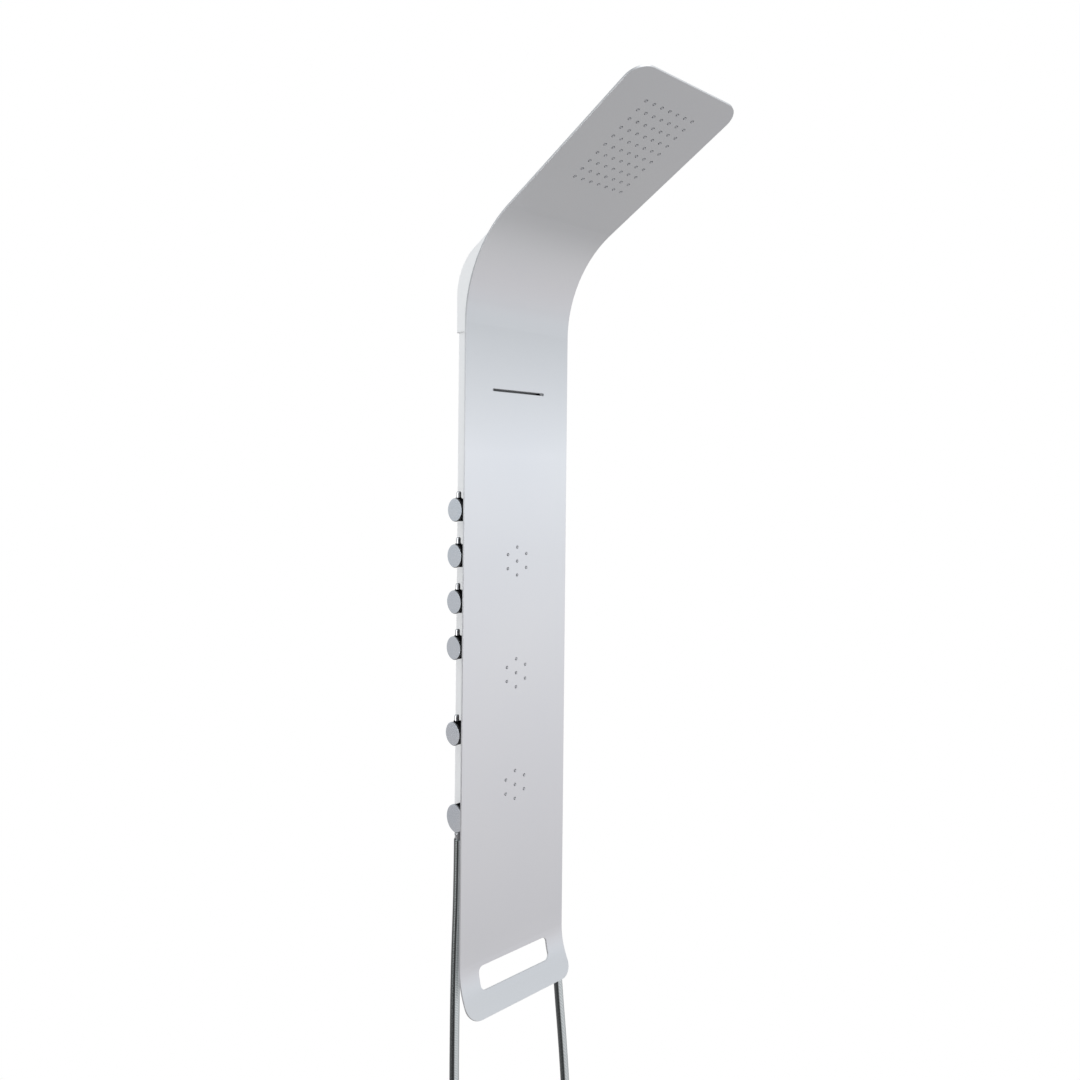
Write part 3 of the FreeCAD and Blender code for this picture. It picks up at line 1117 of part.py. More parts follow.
# ---- assembly -----------------------------------------------------------------------------
def main():
    os.makedirs("parts", exist_ok=True)
    save("front_panel", front_panel())
    save("column_housing", column_housing())
    save("head_cover", head_cover())
    save("bottom_cap", bottom_cap())
    save("cover_standoffs", *cover_standoffs())
    save("cover_screws", *cover_screws())
    save("stud_nuts", *all_stud_nuts())
    for name, z in zip(("upper", "lower"), bracket_places()):
        save(name + "_wall_bracket", wall_bracket(z))

    save("rain_nozzle_mat", rain_nozzle_mat())
    save("rain_chamber", rain_chamber())
    save("waterfall_outlet", waterfall_outlet())
    for name, z in zip(("upper", "middle", "lower"), JET_PLACES):
        save(name + "_jet_body", jet_body(z))
    save("jet_inserts", *jet_inserts())

    save("valve_manifold", valve_manifold())
    save("thermostatic_mixer", thermostatic_mixer())
    save("neck_lock_nuts", *neck_lock_nuts())
    for name, z in zip(("rain", "waterfall", "jet", "hand"), VALVE_Z):
        save(name + "_stop_valve", stop_valve(z))
    for name, z in zip(("rain", "waterfall", "jet", "hand", "temperature"), VALVE_Z + [MIXER_Z]):
        save(name + "_spindle", spindle(z))
        save(name + "_knob", knob(z))
        save(name + "_knob_cap", knob_cap(z))
        save(name + "_lever", lever(z))

    save("outlet_body", outlet_body())
    save("outlet_disc", outlet_disc())
    save("outlet_stem", outlet_stem())
    save("outlet_lock_nut", outlet_lock_nut())
    save("feed_pipe", feed_pipe())
    save("rain_pipe", rain_pipe())
    save("waterfall_pipe", waterfall_pipe())
    save("jet_header", jet_header())
    save("hand_shower_pipe", hand_shower_pipe())
    save("inlet_tubes", *inlet_tubes())
    save("inlet_nuts", *inlet_nuts())

    save("handset_holder", handset_holder())
    save("handset_hose_nut", handset_hose_nut())
    save("handset_body", handset_body())
    save("handset_spray_plate", handset_spray_plate())
    save("shower_hose", shower_hose())


main()
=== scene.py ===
"""Shower panel column: finishes for its parts, the ribbed hose, the small screws and threads,
a plain white studio and the photograph's camera. Metres, +X to the right, +Y into the wall and
+Z up.
"""
import math

import bmesh
import bpy
from mathutils import Matrix, Vector


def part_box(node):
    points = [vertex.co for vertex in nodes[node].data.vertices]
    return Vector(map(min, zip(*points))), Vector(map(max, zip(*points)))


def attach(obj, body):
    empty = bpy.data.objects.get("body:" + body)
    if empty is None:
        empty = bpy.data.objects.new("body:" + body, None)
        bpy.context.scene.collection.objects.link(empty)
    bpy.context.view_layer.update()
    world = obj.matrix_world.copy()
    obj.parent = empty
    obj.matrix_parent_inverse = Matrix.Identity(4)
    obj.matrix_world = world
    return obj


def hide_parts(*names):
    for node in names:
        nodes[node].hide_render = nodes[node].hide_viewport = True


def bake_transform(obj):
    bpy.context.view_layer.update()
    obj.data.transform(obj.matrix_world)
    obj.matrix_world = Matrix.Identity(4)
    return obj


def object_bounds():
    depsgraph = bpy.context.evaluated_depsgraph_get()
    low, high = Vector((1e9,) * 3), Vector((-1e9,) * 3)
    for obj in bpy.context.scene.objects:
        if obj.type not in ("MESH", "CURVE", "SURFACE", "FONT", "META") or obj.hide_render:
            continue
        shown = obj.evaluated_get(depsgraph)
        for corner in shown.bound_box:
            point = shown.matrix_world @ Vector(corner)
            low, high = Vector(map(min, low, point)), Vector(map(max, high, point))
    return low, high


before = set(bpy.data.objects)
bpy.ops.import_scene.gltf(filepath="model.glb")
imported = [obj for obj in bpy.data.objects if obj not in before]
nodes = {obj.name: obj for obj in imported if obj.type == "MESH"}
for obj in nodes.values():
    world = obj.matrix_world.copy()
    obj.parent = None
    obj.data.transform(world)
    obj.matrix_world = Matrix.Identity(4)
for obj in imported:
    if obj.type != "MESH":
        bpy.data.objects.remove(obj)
cad_low, cad_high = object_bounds()


# ---- bent front sheet ---------------------------------------------------------------------
# One stainless sheet, 3 mm thick, bent forward at the head and at the foot. Its face has a
# fine satin grain that runs up the column, and its cut edges are slightly eased.
NOISE_DETAIL = 3.0


def surface_detail():
    """The shared detail of every finish: clouded colour, grained gloss, relief and eased edges."""
    group = bpy.data.node_groups.new("surface_detail", "ShaderNodeTree")
    taken = (("Dark", "Color"), ("Light", "Color"), ("Clouds", "Float"), ("Grain", "Vector"),
             ("Smooth", "Float"), ("Rough", "Float"), ("Relief", "Float"), ("Depth", "Float"),
             ("Edge", "Float"))
    for label, kind in taken:
        group.interface.new_socket(label, in_out="INPUT", socket_type="NodeSocket" + kind)
    for label, kind in (("Color", "Color"), ("Roughness", "Float"), ("Normal", "Vector")):
        group.interface.new_socket(label, in_out="OUTPUT", socket_type="NodeSocket" + kind)
    given = group.nodes.new("NodeGroupInput")
    result = group.nodes.new("NodeGroupOutput")
    place = group.nodes.new("ShaderNodeTexCoord")
    clouds = group.nodes.new("ShaderNodeTexNoise")
    clouds.inputs["Detail"].default_value = NOISE_DETAIL
    color = group.nodes.new("ShaderNodeMixRGB")
    stretch = group.nodes.new("ShaderNodeMapping")
    grain = group.nodes.new("ShaderNodeTexNoise")
    grain.inputs["Scale"].default_value = 1.0
    grain.inputs["Detail"].default_value = NOISE_DETAIL
    gloss = group.nodes.new("ShaderNodeMapRange")
    bevel = group.nodes.new("ShaderNodeBevel")
    bevel.samples = 4
    bump = group.nodes.new("ShaderNodeBump")
    for output, to in (
            (place.outputs["Object"], clouds.inputs["Vector"]),
            (given.outputs["Clouds"], clouds.inputs["Scale"]),
            (clouds.outputs["Fac"], color.inputs["Fac"]),
            (given.outputs["Dark"], color.inputs["Color1"]),
            (given.outputs["Light"], color.inputs["Color2"]),
            (color.outputs["Color"], result.inputs["Color"]),
            (place.outputs["Object"], stretch.inputs["Vector"]),
            (given.outputs["Grain"], stretch.inputs["Scale"]),
            (stretch.outputs["Vector"], grain.inputs["Vector"]),
            (grain.outputs["Fac"], gloss.inputs["Value"]),
            (given.outputs["Smooth"], gloss.inputs["To Min"]),
            (given.outputs["Rough"], gloss.inputs["To Max"]),
            (gloss.outputs["Result"], result.inputs["Roughness"]),
            (given.outputs["Edge"], bevel.inputs["Radius"]),
            (bevel.outputs["Normal"], bump.inputs["Normal"]),
            (grain.outputs["Fac"], bump.inputs["Height"]),
            (given.outputs["Relief"], bump.inputs["Strength"]),
            (given.outputs["Depth"], bump.inputs["Distance"]),
            (bump.outputs["Normal"], result.inputs["Normal"])):
        group.links.new(output, to)
    return group


SURFACE_DETAIL = surface_detail()


def finish(name, metallic, **values):
    """A material that takes its colour, gloss and normal from the shared detail and its values."""
    material = bpy.data.materials.new(name)
    material.use_nodes = True
    tree = material.node_tree
    shader = tree.nodes["Principled BSDF"]
    shader.inputs["Metallic"].default_value = metallic
    detail = tree.nodes.new("ShaderNodeGroup")
    detail.node_tree = SURFACE_DETAIL
    for label, value in values.items():
        is_color = label in ("dark", "light")
        detail.inputs[label.capitalize()].default_value = (*value, 1) if is_color else value
    tree.links.new(detail.outputs["Color"], shader.inputs["Base Color"])
    tree.links.new(detail.outputs["Roughness"], shader.inputs["Roughness"])
    tree.links.new(detail.outputs["Normal"], shader.inputs["Normal"])
    return material


def dress(material, *names):
    """Puts a finish on parts of the CAD model."""
    for name in names:
        mesh = nodes[name].data
        mesh.materials.clear()
        mesh.materials.append(material)


def ramp_over(tree, value, stops):
    """A colour ramp over a value from 0 to 1: stops are (position, tone or colour)."""
    ramp = tree.nodes.new("ShaderNodeValToRGB")
    points = ramp.color_ramp.elements
    while len(points) < len(stops):
        points.new(0.5)
    for point, (position, tone) in zip(points, stops):
        point.position = position
        point.color = (*tone, 1) if isinstance(tone, tuple) else (tone, tone, tone, 1)
    tree.links.new(value, ramp.inputs["Fac"])
    return ramp.outputs["Color"]


def mapped(tree, value, low, high):
    """A value between low and high, brought to the range from 0 to 1."""
    made = tree.nodes.new("ShaderNodeMapRange")
    made.inputs["From Min"].default_value = low
    made.inputs["From Max"].default_value = high
    tree.links.new(value, made.inputs["Value"])
    return made.outputs["Result"]


def tint(material, color, share=None):
    """Multiplies a finish's colour by another colour of its tree, wholly or by a share."""
    tree = material.node_tree
    base = tree.nodes["Principled BSDF"].inputs["Base Color"]
    product = tree.nodes.new("ShaderNodeMixRGB")
    product.blend_type = "MULTIPLY"
    product.inputs["Fac"].default_value = 1.0
    tree.links.new(base.links[0].from_socket, product.inputs["Color1"])
    tree.links.new(color, product.inputs["Color2"])
    if share is not None:
        tree.links.new(share, product.inputs["Fac"])
    tree.links.new(product.outputs["Color"], base)


def side_faced():
    """The shared mask of how far a surface faces a direction: 0 away from it, 1 towards it."""
    group = bpy.data.node_groups.new("side_faced", "ShaderNodeTree")
    group.interface.new_socket("Direction", in_out="INPUT", socket_type="NodeSocketVector")
    group.interface.new_socket("Facing", in_out="OUTPUT", socket_type="NodeSocketFloat")
    place = group.nodes.new("ShaderNodeTexCoord")
    dot = group.nodes.new("ShaderNodeVectorMath")
    dot.operation = "DOT_PRODUCT"
    group.links.new(place.outputs["Normal"], dot.inputs[0])
    group.links.new(group.nodes.new("NodeGroupInput").outputs["Direction"], dot.inputs[1])
    share = mapped(group, dot.outputs["Value"], -1.0, 1.0)
    group.links.new(share, group.nodes.new("NodeGroupOutput").inputs["Facing"])
    return group


SIDE_FACED = side_faced()


def painted_light_by_side(material, direction, stops, share=None):
    """Multiplies a finish's colour by tones for the side its surface faces: painted light, shade and
    reflection of what is there.
    """
    tree = material.node_tree
    side = tree.nodes.new("ShaderNodeGroup")
    side.node_tree = SIDE_FACED
    side.inputs["Direction"].default_value = direction
    tint(material, ramp_over(tree, side.outputs["Facing"], stops), share)


# Painted reflection: the sheet's colour is made lighter and darker along its height. Painted shade: its
# left-facing cut edge is darker, fully at the head and a little along the column.
SHEET_LOW = -0.56
SHEET_HIGH = 0.72
SHEET_PAINTED_REFLECTION = (
    (0.00, 0.83), (0.10, 0.77), (0.53, 0.87), (0.65, 0.95), (0.82, 0.71), (0.91, 0.90), (1.00, 0.82),
)
TO_LEFT = (-1.0, 0.0, 0.0)
CUT_EDGE_PAINTED_SHADE = ((0.0, 1.0), (0.88, 1.0), (0.96, 0.68))
CUT_EDGE_SHADE_SHARE = ((0.0, 0.0), (0.12, 0.0), (0.20, 0.3), (0.78, 0.3), (0.84, 1.0))


def sheet_steel():
    """Satin steel with a painted reflection that makes it lighter and darker along the height, and painted
    shade on its left cut edge.
    """
    material = finish("satin_steel", 1.0, dark=(0.94, 0.95, 0.975), light=(1.0, 1.0, 1.0), clouds=5.0,
                      grain=(1400, 14, 14), smooth=0.32, rough=0.42, relief=0.02, depth=0.00005,
                      edge=0.0006)
    tree = material.node_tree
    place = tree.nodes.new("ShaderNodeTexCoord")
    split = tree.nodes.new("ShaderNodeSeparateXYZ")
    tree.links.new(place.outputs["Object"], split.inputs[0])
    height = mapped(tree, split.outputs["Z"], SHEET_LOW, SHEET_HIGH)
    tint(material, ramp_over(tree, height, SHEET_PAINTED_REFLECTION))
    painted_light_by_side(material, TO_LEFT, CUT_EDGE_PAINTED_SHADE, ramp_over(tree, height, CUT_EDGE_SHADE_SHARE))
    return material


dress(sheet_steel(), "front_panel")


# ---- housing, head cover and bottom cap ---------------------------------------------------
# Thin formed covers with a smooth silver-white paint: the column's channel behind the sheet,
# the tray on the head that laps over it, and the cap with drain slots under it.
silver_paint = finish("silver_paint", 0.15, dark=(0.87, 0.875, 0.875), light=(0.90, 0.905, 0.905),
                      clouds=6.0, grain=(2200, 2200, 2200), smooth=0.34, rough=0.42, relief=0.05,
                      depth=0.00004, edge=0.0006)
dress(silver_paint, "column_housing", "head_cover", "bottom_cap")


# ---- brackets, studs and nuts -------------------------------------------------------------
# Zinc-plated steel with a dull, clouded plating: the two hook plates on the wall, the pillars
# under the cover and the small nuts on the weld studs.
zinc_plate = finish("zinc_plate", 1.0, dark=(0.50, 0.51, 0.53), light=(0.68, 0.69, 0.70), clouds=70.0,
                    grain=(260, 260, 260), smooth=0.3, rough=0.5, relief=0.08, depth=0.0002, edge=0.0004)
dress(zinc_plate, "upper_wall_bracket", "lower_wall_bracket", "cover_standoffs", "stud_nuts")


# ---- cover screws -------------------------------------------------------------------------
# Four zinc-plated pan-head screws with a cross recess hold the cover to its pillars. The heads
# stand square to the sloping top, each stopped at its own angle.
SCREW_HEAD_RADIUS = 0.0038
SCREW_HEAD_HEIGHT = 0.0024
SCREW_SHANK_RADIUS = 0.0019
SCREW_SHANK = 0.006
SCREW_SIDES = 32
DOME_SHARE = 0.6
DOME_FLAT = 0.45
DOME_STEPS = 6
CROSS_REACH = 0.0021
CROSS_WIDTH = 0.00075
CROSS_DEPTH = 0.0013
CROSS_TAPER = 0.45
HEAD_SLOPE = math.radians(63.25)
SCREW_OUT = Vector((0, math.cos(HEAD_SLOPE), math.sin(HEAD_SLOPE)))
RIM_REACH = 1e-5
SAME_PLACE = 1e-7
SHARP_ANGLE = math.radians(35)
SCREW_SEED = 4


def mesh_from(bm, name):
    """Turns an edit mesh into a mesh of its own and frees it."""
    mesh = bpy.data.meshes.new(name)
    bm.to_mesh(mesh)
    bm.free()
    return mesh


def lathe(profile, steps):
    """A mesh turned about Z: profile is (height, radius) points, closed at its ends."""
    bm = bmesh.new()
    rings = []
    for height, radius in profile:
        if radius == 0:
            rings.append([bm.verts.new((0, 0, height))])
            continue
        angles = [2 * math.pi * i / steps for i in range(steps)]
        rings.append([bm.verts.new((radius * math.cos(a), radius * math.sin(a), height)) for a in angles])
    for low, high in zip(rings, rings[1:]):
        for i in range(steps):
            loop = [low[i % len(low)], low[(i + 1) % len(low)],
                    high[(i + 1) % len(high)], high[i % len(high)]]
            bm.faces.new(list(dict.fromkeys(loop)))
    bmesh.ops.recalc_face_normals(bm, faces=bm.faces)
    return mesh_from(bm, "turned")


def in_scene(name, data):
    """A new object in the scene that holds a mesh, curve, light or camera."""
    made = bpy.data.objects.new(name, data)
    bpy.context.scene.collection.objects.link(made)
    return made


def evaluated_mesh(source):
    """What an object shows with its modifiers, as a mesh of its own."""
    graph = bpy.context.evaluated_depsgraph_get()
    return bpy.data.meshes.new_from_object(source.evaluated_get(graph))


def pan_head_screw():
    """One screw, its head's top at the origin: a domed head, a shank and a tapered cross."""
    head, low = SCREW_HEAD_RADIUS, -SCREW_HEAD_HEIGHT
    profile = [(low - SCREW_SHANK, 0), (low - SCREW_SHANK, SCREW_SHANK_RADIUS),
               (low, SCREW_SHANK_RADIUS), (low, head), (low * DOME_SHARE, head)]
    for step in range(1, DOME_STEPS):
        angle = math.radians(90 * step / DOME_STEPS)
        profile.append((low * DOME_SHARE * (1 - math.sin(angle)),
                        head * (DOME_FLAT + (1 - DOME_FLAT) * math.cos(angle))))
    profile.append((0, 0))
    screw = in_scene("screw", lathe(profile, SCREW_SIDES))
    cross = bmesh.new()
    for turn in (0, math.pi / 2):
        blade = bmesh.ops.create_cube(cross, size=1.0)["verts"]
        for vert in blade:
            taper, height = (1.0, CROSS_DEPTH) if vert.co.z > 0 else (CROSS_TAPER, -CROSS_DEPTH)
            vert.co = Vector((vert.co.x * 2 * CROSS_REACH * taper, vert.co.y * CROSS_WIDTH, height))
        bmesh.ops.rotate(cross, verts=blade, matrix=Matrix.Rotation(turn, 3, "Z"))
    cutter = in_scene("cross", mesh_from(cross, "cross"))
    cut = screw.modifiers.new("cross", "BOOLEAN")
    cut.object = cutter
    cut.use_self = True
    mesh = evaluated_mesh(screw)
    for used in (screw, cutter):
        bpy.data.objects.remove(used)
    return mesh


def loose_parts(name):
    """The separate solids of a CAD node, each as a list of its corners."""
    bm = bmesh.new()
    bm.from_mesh(nodes[name].data)
    bmesh.ops.remove_doubles(bm, verts=bm.verts, dist=SAME_PLACE)
    left = set(bm.verts)
    parts = []
    while left:
        reached = [left.pop()]
        for vert in reached:
            near = {edge.other_vert(vert) for edge in vert.link_edges} & left
            left -= near
            reached.extend(near)
        parts.append([vert.co.copy() for vert in reached])
    bm.free()
    return parts


def tree_with_sizes(name, sizes):
    """An empty Geometry Nodes tree with named inputs for its sizes."""
    tree = bpy.data.node_groups.new(name, "GeometryNodeTree")
    tree.interface.new_socket("Geometry", in_out="INPUT", socket_type="NodeSocketGeometry")
    tree.interface.new_socket("Geometry", in_out="OUTPUT", socket_type="NodeSocketGeometry")
    kinds = {int: "NodeSocketInt", float: "NodeSocketFloat", Vector: "NodeSocketVector"}
    for label, value in sizes.items():
        kind = kinds.get(type(value), "NodeSocketObject")
        tree.interface.new_socket(label, in_out="INPUT", socket_type=kind)
    return tree


def plain_mesh(base, tree, sizes):
    """Runs a tree on a piece and leaves what it makes as the piece's own mesh."""
    modifier = base.modifiers.new(tree.name, "NODES")
    modifier.node_group = tree
    for item in tree.interface.items_tree:
        if item.name in sizes:
            modifier[item.identifier] = sizes[item.name]
    mesh = evaluated_mesh(base)
    base.modifiers.remove(modifier)
    base.data = mesh


def end_tree(tree, geometry, material):
    """Closes a tree: instances made real, then the finish."""
    real = tree.nodes.new("GeometryNodeRealizeInstances")
    painted = tree.nodes.new("GeometryNodeSetMaterial")
    painted.inputs["Material"].default_value = material
    tree.links.new(geometry, real.inputs[0])
    tree.links.new(real.outputs[0], painted.inputs[0])
    tree.links.new(painted.outputs[0], tree.nodes.new("NodeGroupOutput").inputs[0])


def copies_on_points(name, base, pattern, rotation, spin, material, seed=0):
    """Copies of a pattern on each point of the base, turned alike and spun by chance up to a limit."""
    holder = in_scene(name + "_pattern", pattern)
    sizes = {"Pattern": holder, "Turn": Vector(rotation), "Spin": float(spin), "Seed": int(seed)}
    tree = tree_with_sizes(name, sizes)
    given = tree.nodes.new("NodeGroupInput")
    shape = tree.nodes.new("GeometryNodeObjectInfo")
    chance = tree.nodes.new("FunctionNodeRandomValue")
    chance.data_type = "FLOAT"
    spun = tree.nodes.new("FunctionNodeAxisAngleToRotation")
    spun.inputs["Axis"].default_value = (0, 0, 1)
    turned = tree.nodes.new("FunctionNodeEulerToRotation")
    both = tree.nodes.new("FunctionNodeRotateRotation")
    both.rotation_space = "LOCAL"
    copies = tree.nodes.new("GeometryNodeInstanceOnPoints")
    amount = next(socket for socket in chance.inputs if socket.name == "Max" and socket.type == "VALUE")
    value = next(socket for socket in chance.outputs if socket.type == "VALUE")
    for output, to in ((given.outputs["Geometry"], copies.inputs["Points"]),
                       (given.outputs["Pattern"], shape.inputs["Object"]),
                       (shape.outputs["Geometry"], copies.inputs["Instance"]),
                       (given.outputs["Spin"], amount), (given.outputs["Seed"], chance.inputs["Seed"]),
                       (value, spun.inputs["Angle"]), (given.outputs["Turn"], turned.inputs[0]),
                       (turned.outputs[0], both.inputs[0]), (spun.outputs[0], both.inputs[1]),
                       (both.outputs[0], copies.inputs["Rotation"])):
        tree.links.new(output, to)
    end_tree(tree, copies.outputs[0], material)
    plain_mesh(base, tree, sizes)
    bpy.data.objects.remove(holder)


def cover_screws():
    """A screw on each CAD head, its top where the head's top is."""
    tops = []
    for corners in loose_parts("cover_screws"):
        reach = max(corner.dot(SCREW_OUT) for corner in corners)
        rim = [corner for corner in corners if corner.dot(SCREW_OUT) > reach - RIM_REACH]
        low = [min(corner[i] for corner in rim) for i in range(3)]
        high = [max(corner[i] for corner in rim) for i in range(3)]
        tops.append((Vector(low) + Vector(high)) / 2)
    points = bpy.data.meshes.new("screw_places")
    points.from_pydata(sorted(tops, key=tuple), [], [])
    screws = in_scene("pan_head_screws", points)
    slope = SCREW_OUT.to_track_quat("Z", "Y").to_euler()
    copies_on_points("cover_screws", screws, pan_head_screw(), slope, math.pi, zinc_plate, SCREW_SEED)
    screws.data.shade_smooth()
    screws.data.set_sharp_from_angle(angle=SHARP_ANGLE)
    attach(screws, "root")
    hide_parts("cover_screws")


cover_screws()


# ---- rain head, waterfall and body jets ---------------------------------------------------
# Soft grey silicone nozzles stand through holes in the sheet. Moulded white trays and cups
# behind the sheet feed them, and the waterfall's spout has a satin plating.
grey_silicone = finish("grey_silicone", 0.0, dark=(0.54, 0.54, 0.56), light=(0.62, 0.62, 0.64), clouds=300.0,
                       grain=(700, 700, 700), smooth=0.45, rough=0.6, relief=0.1, depth=0.0001, edge=0.0003)
white_plastic = finish("white_plastic", 0.0, dark=(0.74, 0.74, 0.72), light=(0.80, 0.80, 0.78), clouds=30.0,
                       grain=(700, 700, 700), smooth=0.4, rough=0.55, relief=0.08, depth=0.0001, edge=0.0004)
chrome = finish("chrome", 1.0, dark=(0.80, 0.81, 0.83), light=(0.86, 0.87, 0.89), clouds=60.0,
                grain=(90, 90, 90), smooth=0.05, rough=0.11, relief=0.02, depth=0.0001, edge=0.0004)
spout_satin = finish("spout_satin", 0.25, dark=(0.50, 0.51, 0.52), light=(0.60, 0.61, 0.62), clouds=90.0,
                     grain=(500, 500, 500), smooth=0.3, rough=0.45, relief=0.05, depth=0.0001, edge=0.0003)
dress(grey_silicone, "rain_nozzle_mat", "jet_inserts", "handset_spray_plate")
dress(white_plastic, "rain_chamber", "upper_jet_body", "middle_jet_body", "lower_jet_body")
dress(spout_satin, "waterfall_outlet")


# ---- valves, mixer and pipes --------------------------------------------------------------
# Inside the housing: brass valves on a brass manifold with the thermostatic mixer below, and
# white plastic pipes up to the head, the waterfall, the jets and the hose outlet.
brass = finish("brass", 1.0, dark=(0.55, 0.39, 0.18), light=(0.76, 0.59, 0.33), clouds=45.0,
               grain=(320, 320, 320), smooth=0.26, rough=0.5, relief=0.08, depth=0.0003, edge=0.0004)
dress(brass, "valve_manifold", "thermostatic_mixer", "neck_lock_nuts", "outlet_lock_nut", "feed_pipe",
      "inlet_tubes", "inlet_nuts")
STOP_VALVES = ("rain", "waterfall", "jet", "hand")
dress(brass, *(use + "_stop_valve" for use in STOP_VALVES))
dress(white_plastic, "jet_header", "waterfall_pipe", "rain_pipe", "hand_shower_pipe")


# ---- threads in the supply nuts -----------------------------------------------------------
# The two brass union nuts open towards the wall, with a fine thread inside for the supply
# hoses. The turns of each thread are low round ridges on the bore.
THREAD_RADIUS = 0.0093
THREAD_RIDGE = 0.00045
THREAD_TURNS = 5
THREAD_PITCH = 0.0014
THREAD_START = 0.0010
RIDGE_AROUND = 40
RIDGE_ACROSS = 6


def ridge_ring():
    """A thin ring about Y, round in section."""
    bm = bmesh.new()
    rings = []
    for i in range(RIDGE_AROUND):
        a = 2 * math.pi * i / RIDGE_AROUND
        ring = []
        for j in range(RIDGE_ACROSS):
            b = 2 * math.pi * j / RIDGE_ACROSS
            radius = THREAD_RADIUS + THREAD_RIDGE * math.cos(b)
            ring.append(bm.verts.new((radius * math.cos(a), THREAD_RIDGE * math.sin(b),
                                      radius * math.sin(a))))
        rings.append(ring)
    for i in range(RIDGE_AROUND):
        for j in range(RIDGE_ACROSS):
            after, over = (i + 1) % RIDGE_AROUND, (j + 1) % RIDGE_ACROSS
            bm.faces.new((rings[i][j], rings[i][over], rings[after][over], rings[after][j]))
    bmesh.ops.recalc_face_normals(bm, faces=bm.faces)
    return mesh_from(bm, "ridge")


def inlet_threads():
    """Rings inside each nut, from its mouth inwards."""
    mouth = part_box("inlet_nuts")[1][1]
    places = []
    for corners in loose_parts("inlet_nuts"):
        x = (min(c.x for c in corners) + max(c.x for c in corners)) / 2
        z = (min(c.z for c in corners) + max(c.z for c in corners)) / 2
        places += [(x, mouth - THREAD_START - turn * THREAD_PITCH, z) for turn in range(THREAD_TURNS)]
    points = bpy.data.meshes.new("thread_places")
    points.from_pydata(sorted(places), [], [])
    threads = in_scene("supply_threads", points)
    copies_on_points("supply_threads", threads, ridge_ring(), (0, 0, 0), 0, brass)
    threads.data.shade_smooth()
    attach(threads, "root")


inlet_threads()


# ---- knobs and hose outlet ----------------------------------------------------------------
# Each valve has a black moulded grip, a chromed pin to turn it by and a spun chrome disc. The
# hose outlet is a fixed grip with a larger disc and a short chromed stem under it.
KNOBS = (*STOP_VALVES, "temperature")
SOFT_RIGHT = (0.735, -0.678, 0.0)
DISC_LIGHT = (-0.86, 0.51, 0.0)
# Painted reflections: the discs are dark except on the sides that face nearly towards DISC_LIGHT. The pins
# are light on their left and dark on their right. The stem has light and dark bands around it.
DISC_PAINTED_REFLECTION = ((0.0, 0.02), (0.68, 0.02), (0.80, 0.5), (0.91, 1.0), (0.94, 1.0), (0.97, 0.7))
PIN_PAINTED_REFLECTION = ((0.0, 0.5), (0.3, 0.75), (0.60, 0.6), (0.67, 0.06), (1.0, 0.04))
STEM_PAINTED_REFLECTION = ((0.0, 0.5), (0.3, 0.8), (0.5, 0.8), (0.62, 0.3), (0.74, 0.3), (0.85, 0.8))
black_plastic = finish("black_plastic", 0.0, dark=(0.003, 0.003, 0.0035), light=(0.006, 0.006, 0.0065),
                       clouds=140.0, grain=(900, 900, 900), smooth=0.45, rough=0.6, relief=0.04, depth=0.0001,
                       edge=0.0005)
black_plastic.node_tree.nodes["Principled BSDF"].inputs["Specular IOR Level"].default_value = 0.0
spun_chrome = finish("spun_chrome", 1.0, dark=(0.83, 0.905, 0.98), light=(0.98, 0.99, 1.0), clouds=35.0,
                     grain=(40, 900, 900), smooth=0.2, rough=0.32, relief=0.02, depth=0.00004, edge=0.0004)
painted_light_by_side(spun_chrome, DISC_LIGHT, DISC_PAINTED_REFLECTION)
pin_chrome = finish("pin_chrome", 1.0, dark=(0.80, 0.81, 0.83), light=(0.88, 0.89, 0.91), clouds=60.0,
                    grain=(90, 90, 90), smooth=0.08, rough=0.14, relief=0.02, depth=0.0001, edge=0.0004)
painted_light_by_side(pin_chrome, SOFT_RIGHT, PIN_PAINTED_REFLECTION)
stem_chrome = finish("stem_chrome", 1.0, dark=(0.80, 0.81, 0.83), light=(0.88, 0.89, 0.91), clouds=60.0,
                     grain=(90, 90, 90), smooth=0.12, rough=0.2, relief=0.02, depth=0.0001, edge=0.0004)
painted_light_by_side(stem_chrome, SOFT_RIGHT, STEM_PAINTED_REFLECTION)
dress(black_plastic, "outlet_body", *(knob + "_knob" for knob in KNOBS))
dress(spun_chrome, "outlet_disc", *(knob + "_knob_cap" for knob in KNOBS))
dress(pin_chrome, *(knob + "_lever" for knob in KNOBS))
dress(stem_chrome, "outlet_stem")
dress(brass, *(knob + "_spindle" for knob in KNOBS))


# ---- hand shower and holder ---------------------------------------------------------------
# A slim baton of chrome-plated plastic with a soft spray plate, in a slotted cup on the
# column's right side. The hose's conical nut seats in the cup.
plated_plastic = finish("plated_plastic", 1.0, dark=(0.76, 0.77, 0.80), light=(0.83, 0.84, 0.86), clouds=18.0,
                        grain=(25, 25, 25), smooth=0.06, rough=0.13, relief=0.04, depth=0.0004, edge=0.0006)
dress(plated_plastic, "handset_body", "handset_holder")
dress(chrome, "handset_hose_nut")


# ---- shower hose --------------------------------------------------------------------------
# A flexible hose in a wound metal sleeve: fine round ribs with grooves between them, darkened by painted
# shade. It hangs from the outlet in one loop and comes up to the hand shower.
HOSE_Y = -0.032
HOSE_RADIUS = 0.007
HOSE_ROUTE = [
    (-0.0830, -0.2862), (-0.0830, -0.356), (-0.0869, -0.476), (-0.0874, -0.600), (-0.0864, -0.706),
    (-0.0843, -0.795), (-0.020, -0.861), (0.075, -0.860), (0.143, -0.792),
    (0.1345, -0.690), (0.119, -0.560), (0.1066, -0.420), (0.1022, -0.290), (0.101, -0.170), (0.101, -0.065),
]
RIB_PITCH = 0.0024
RIB_DEPTH = 0.00025
RIB_STEPS = 4
HOSE_SIDES = 24
LINE_STEPS = 40
GROOVE_NARROWING = 3.0
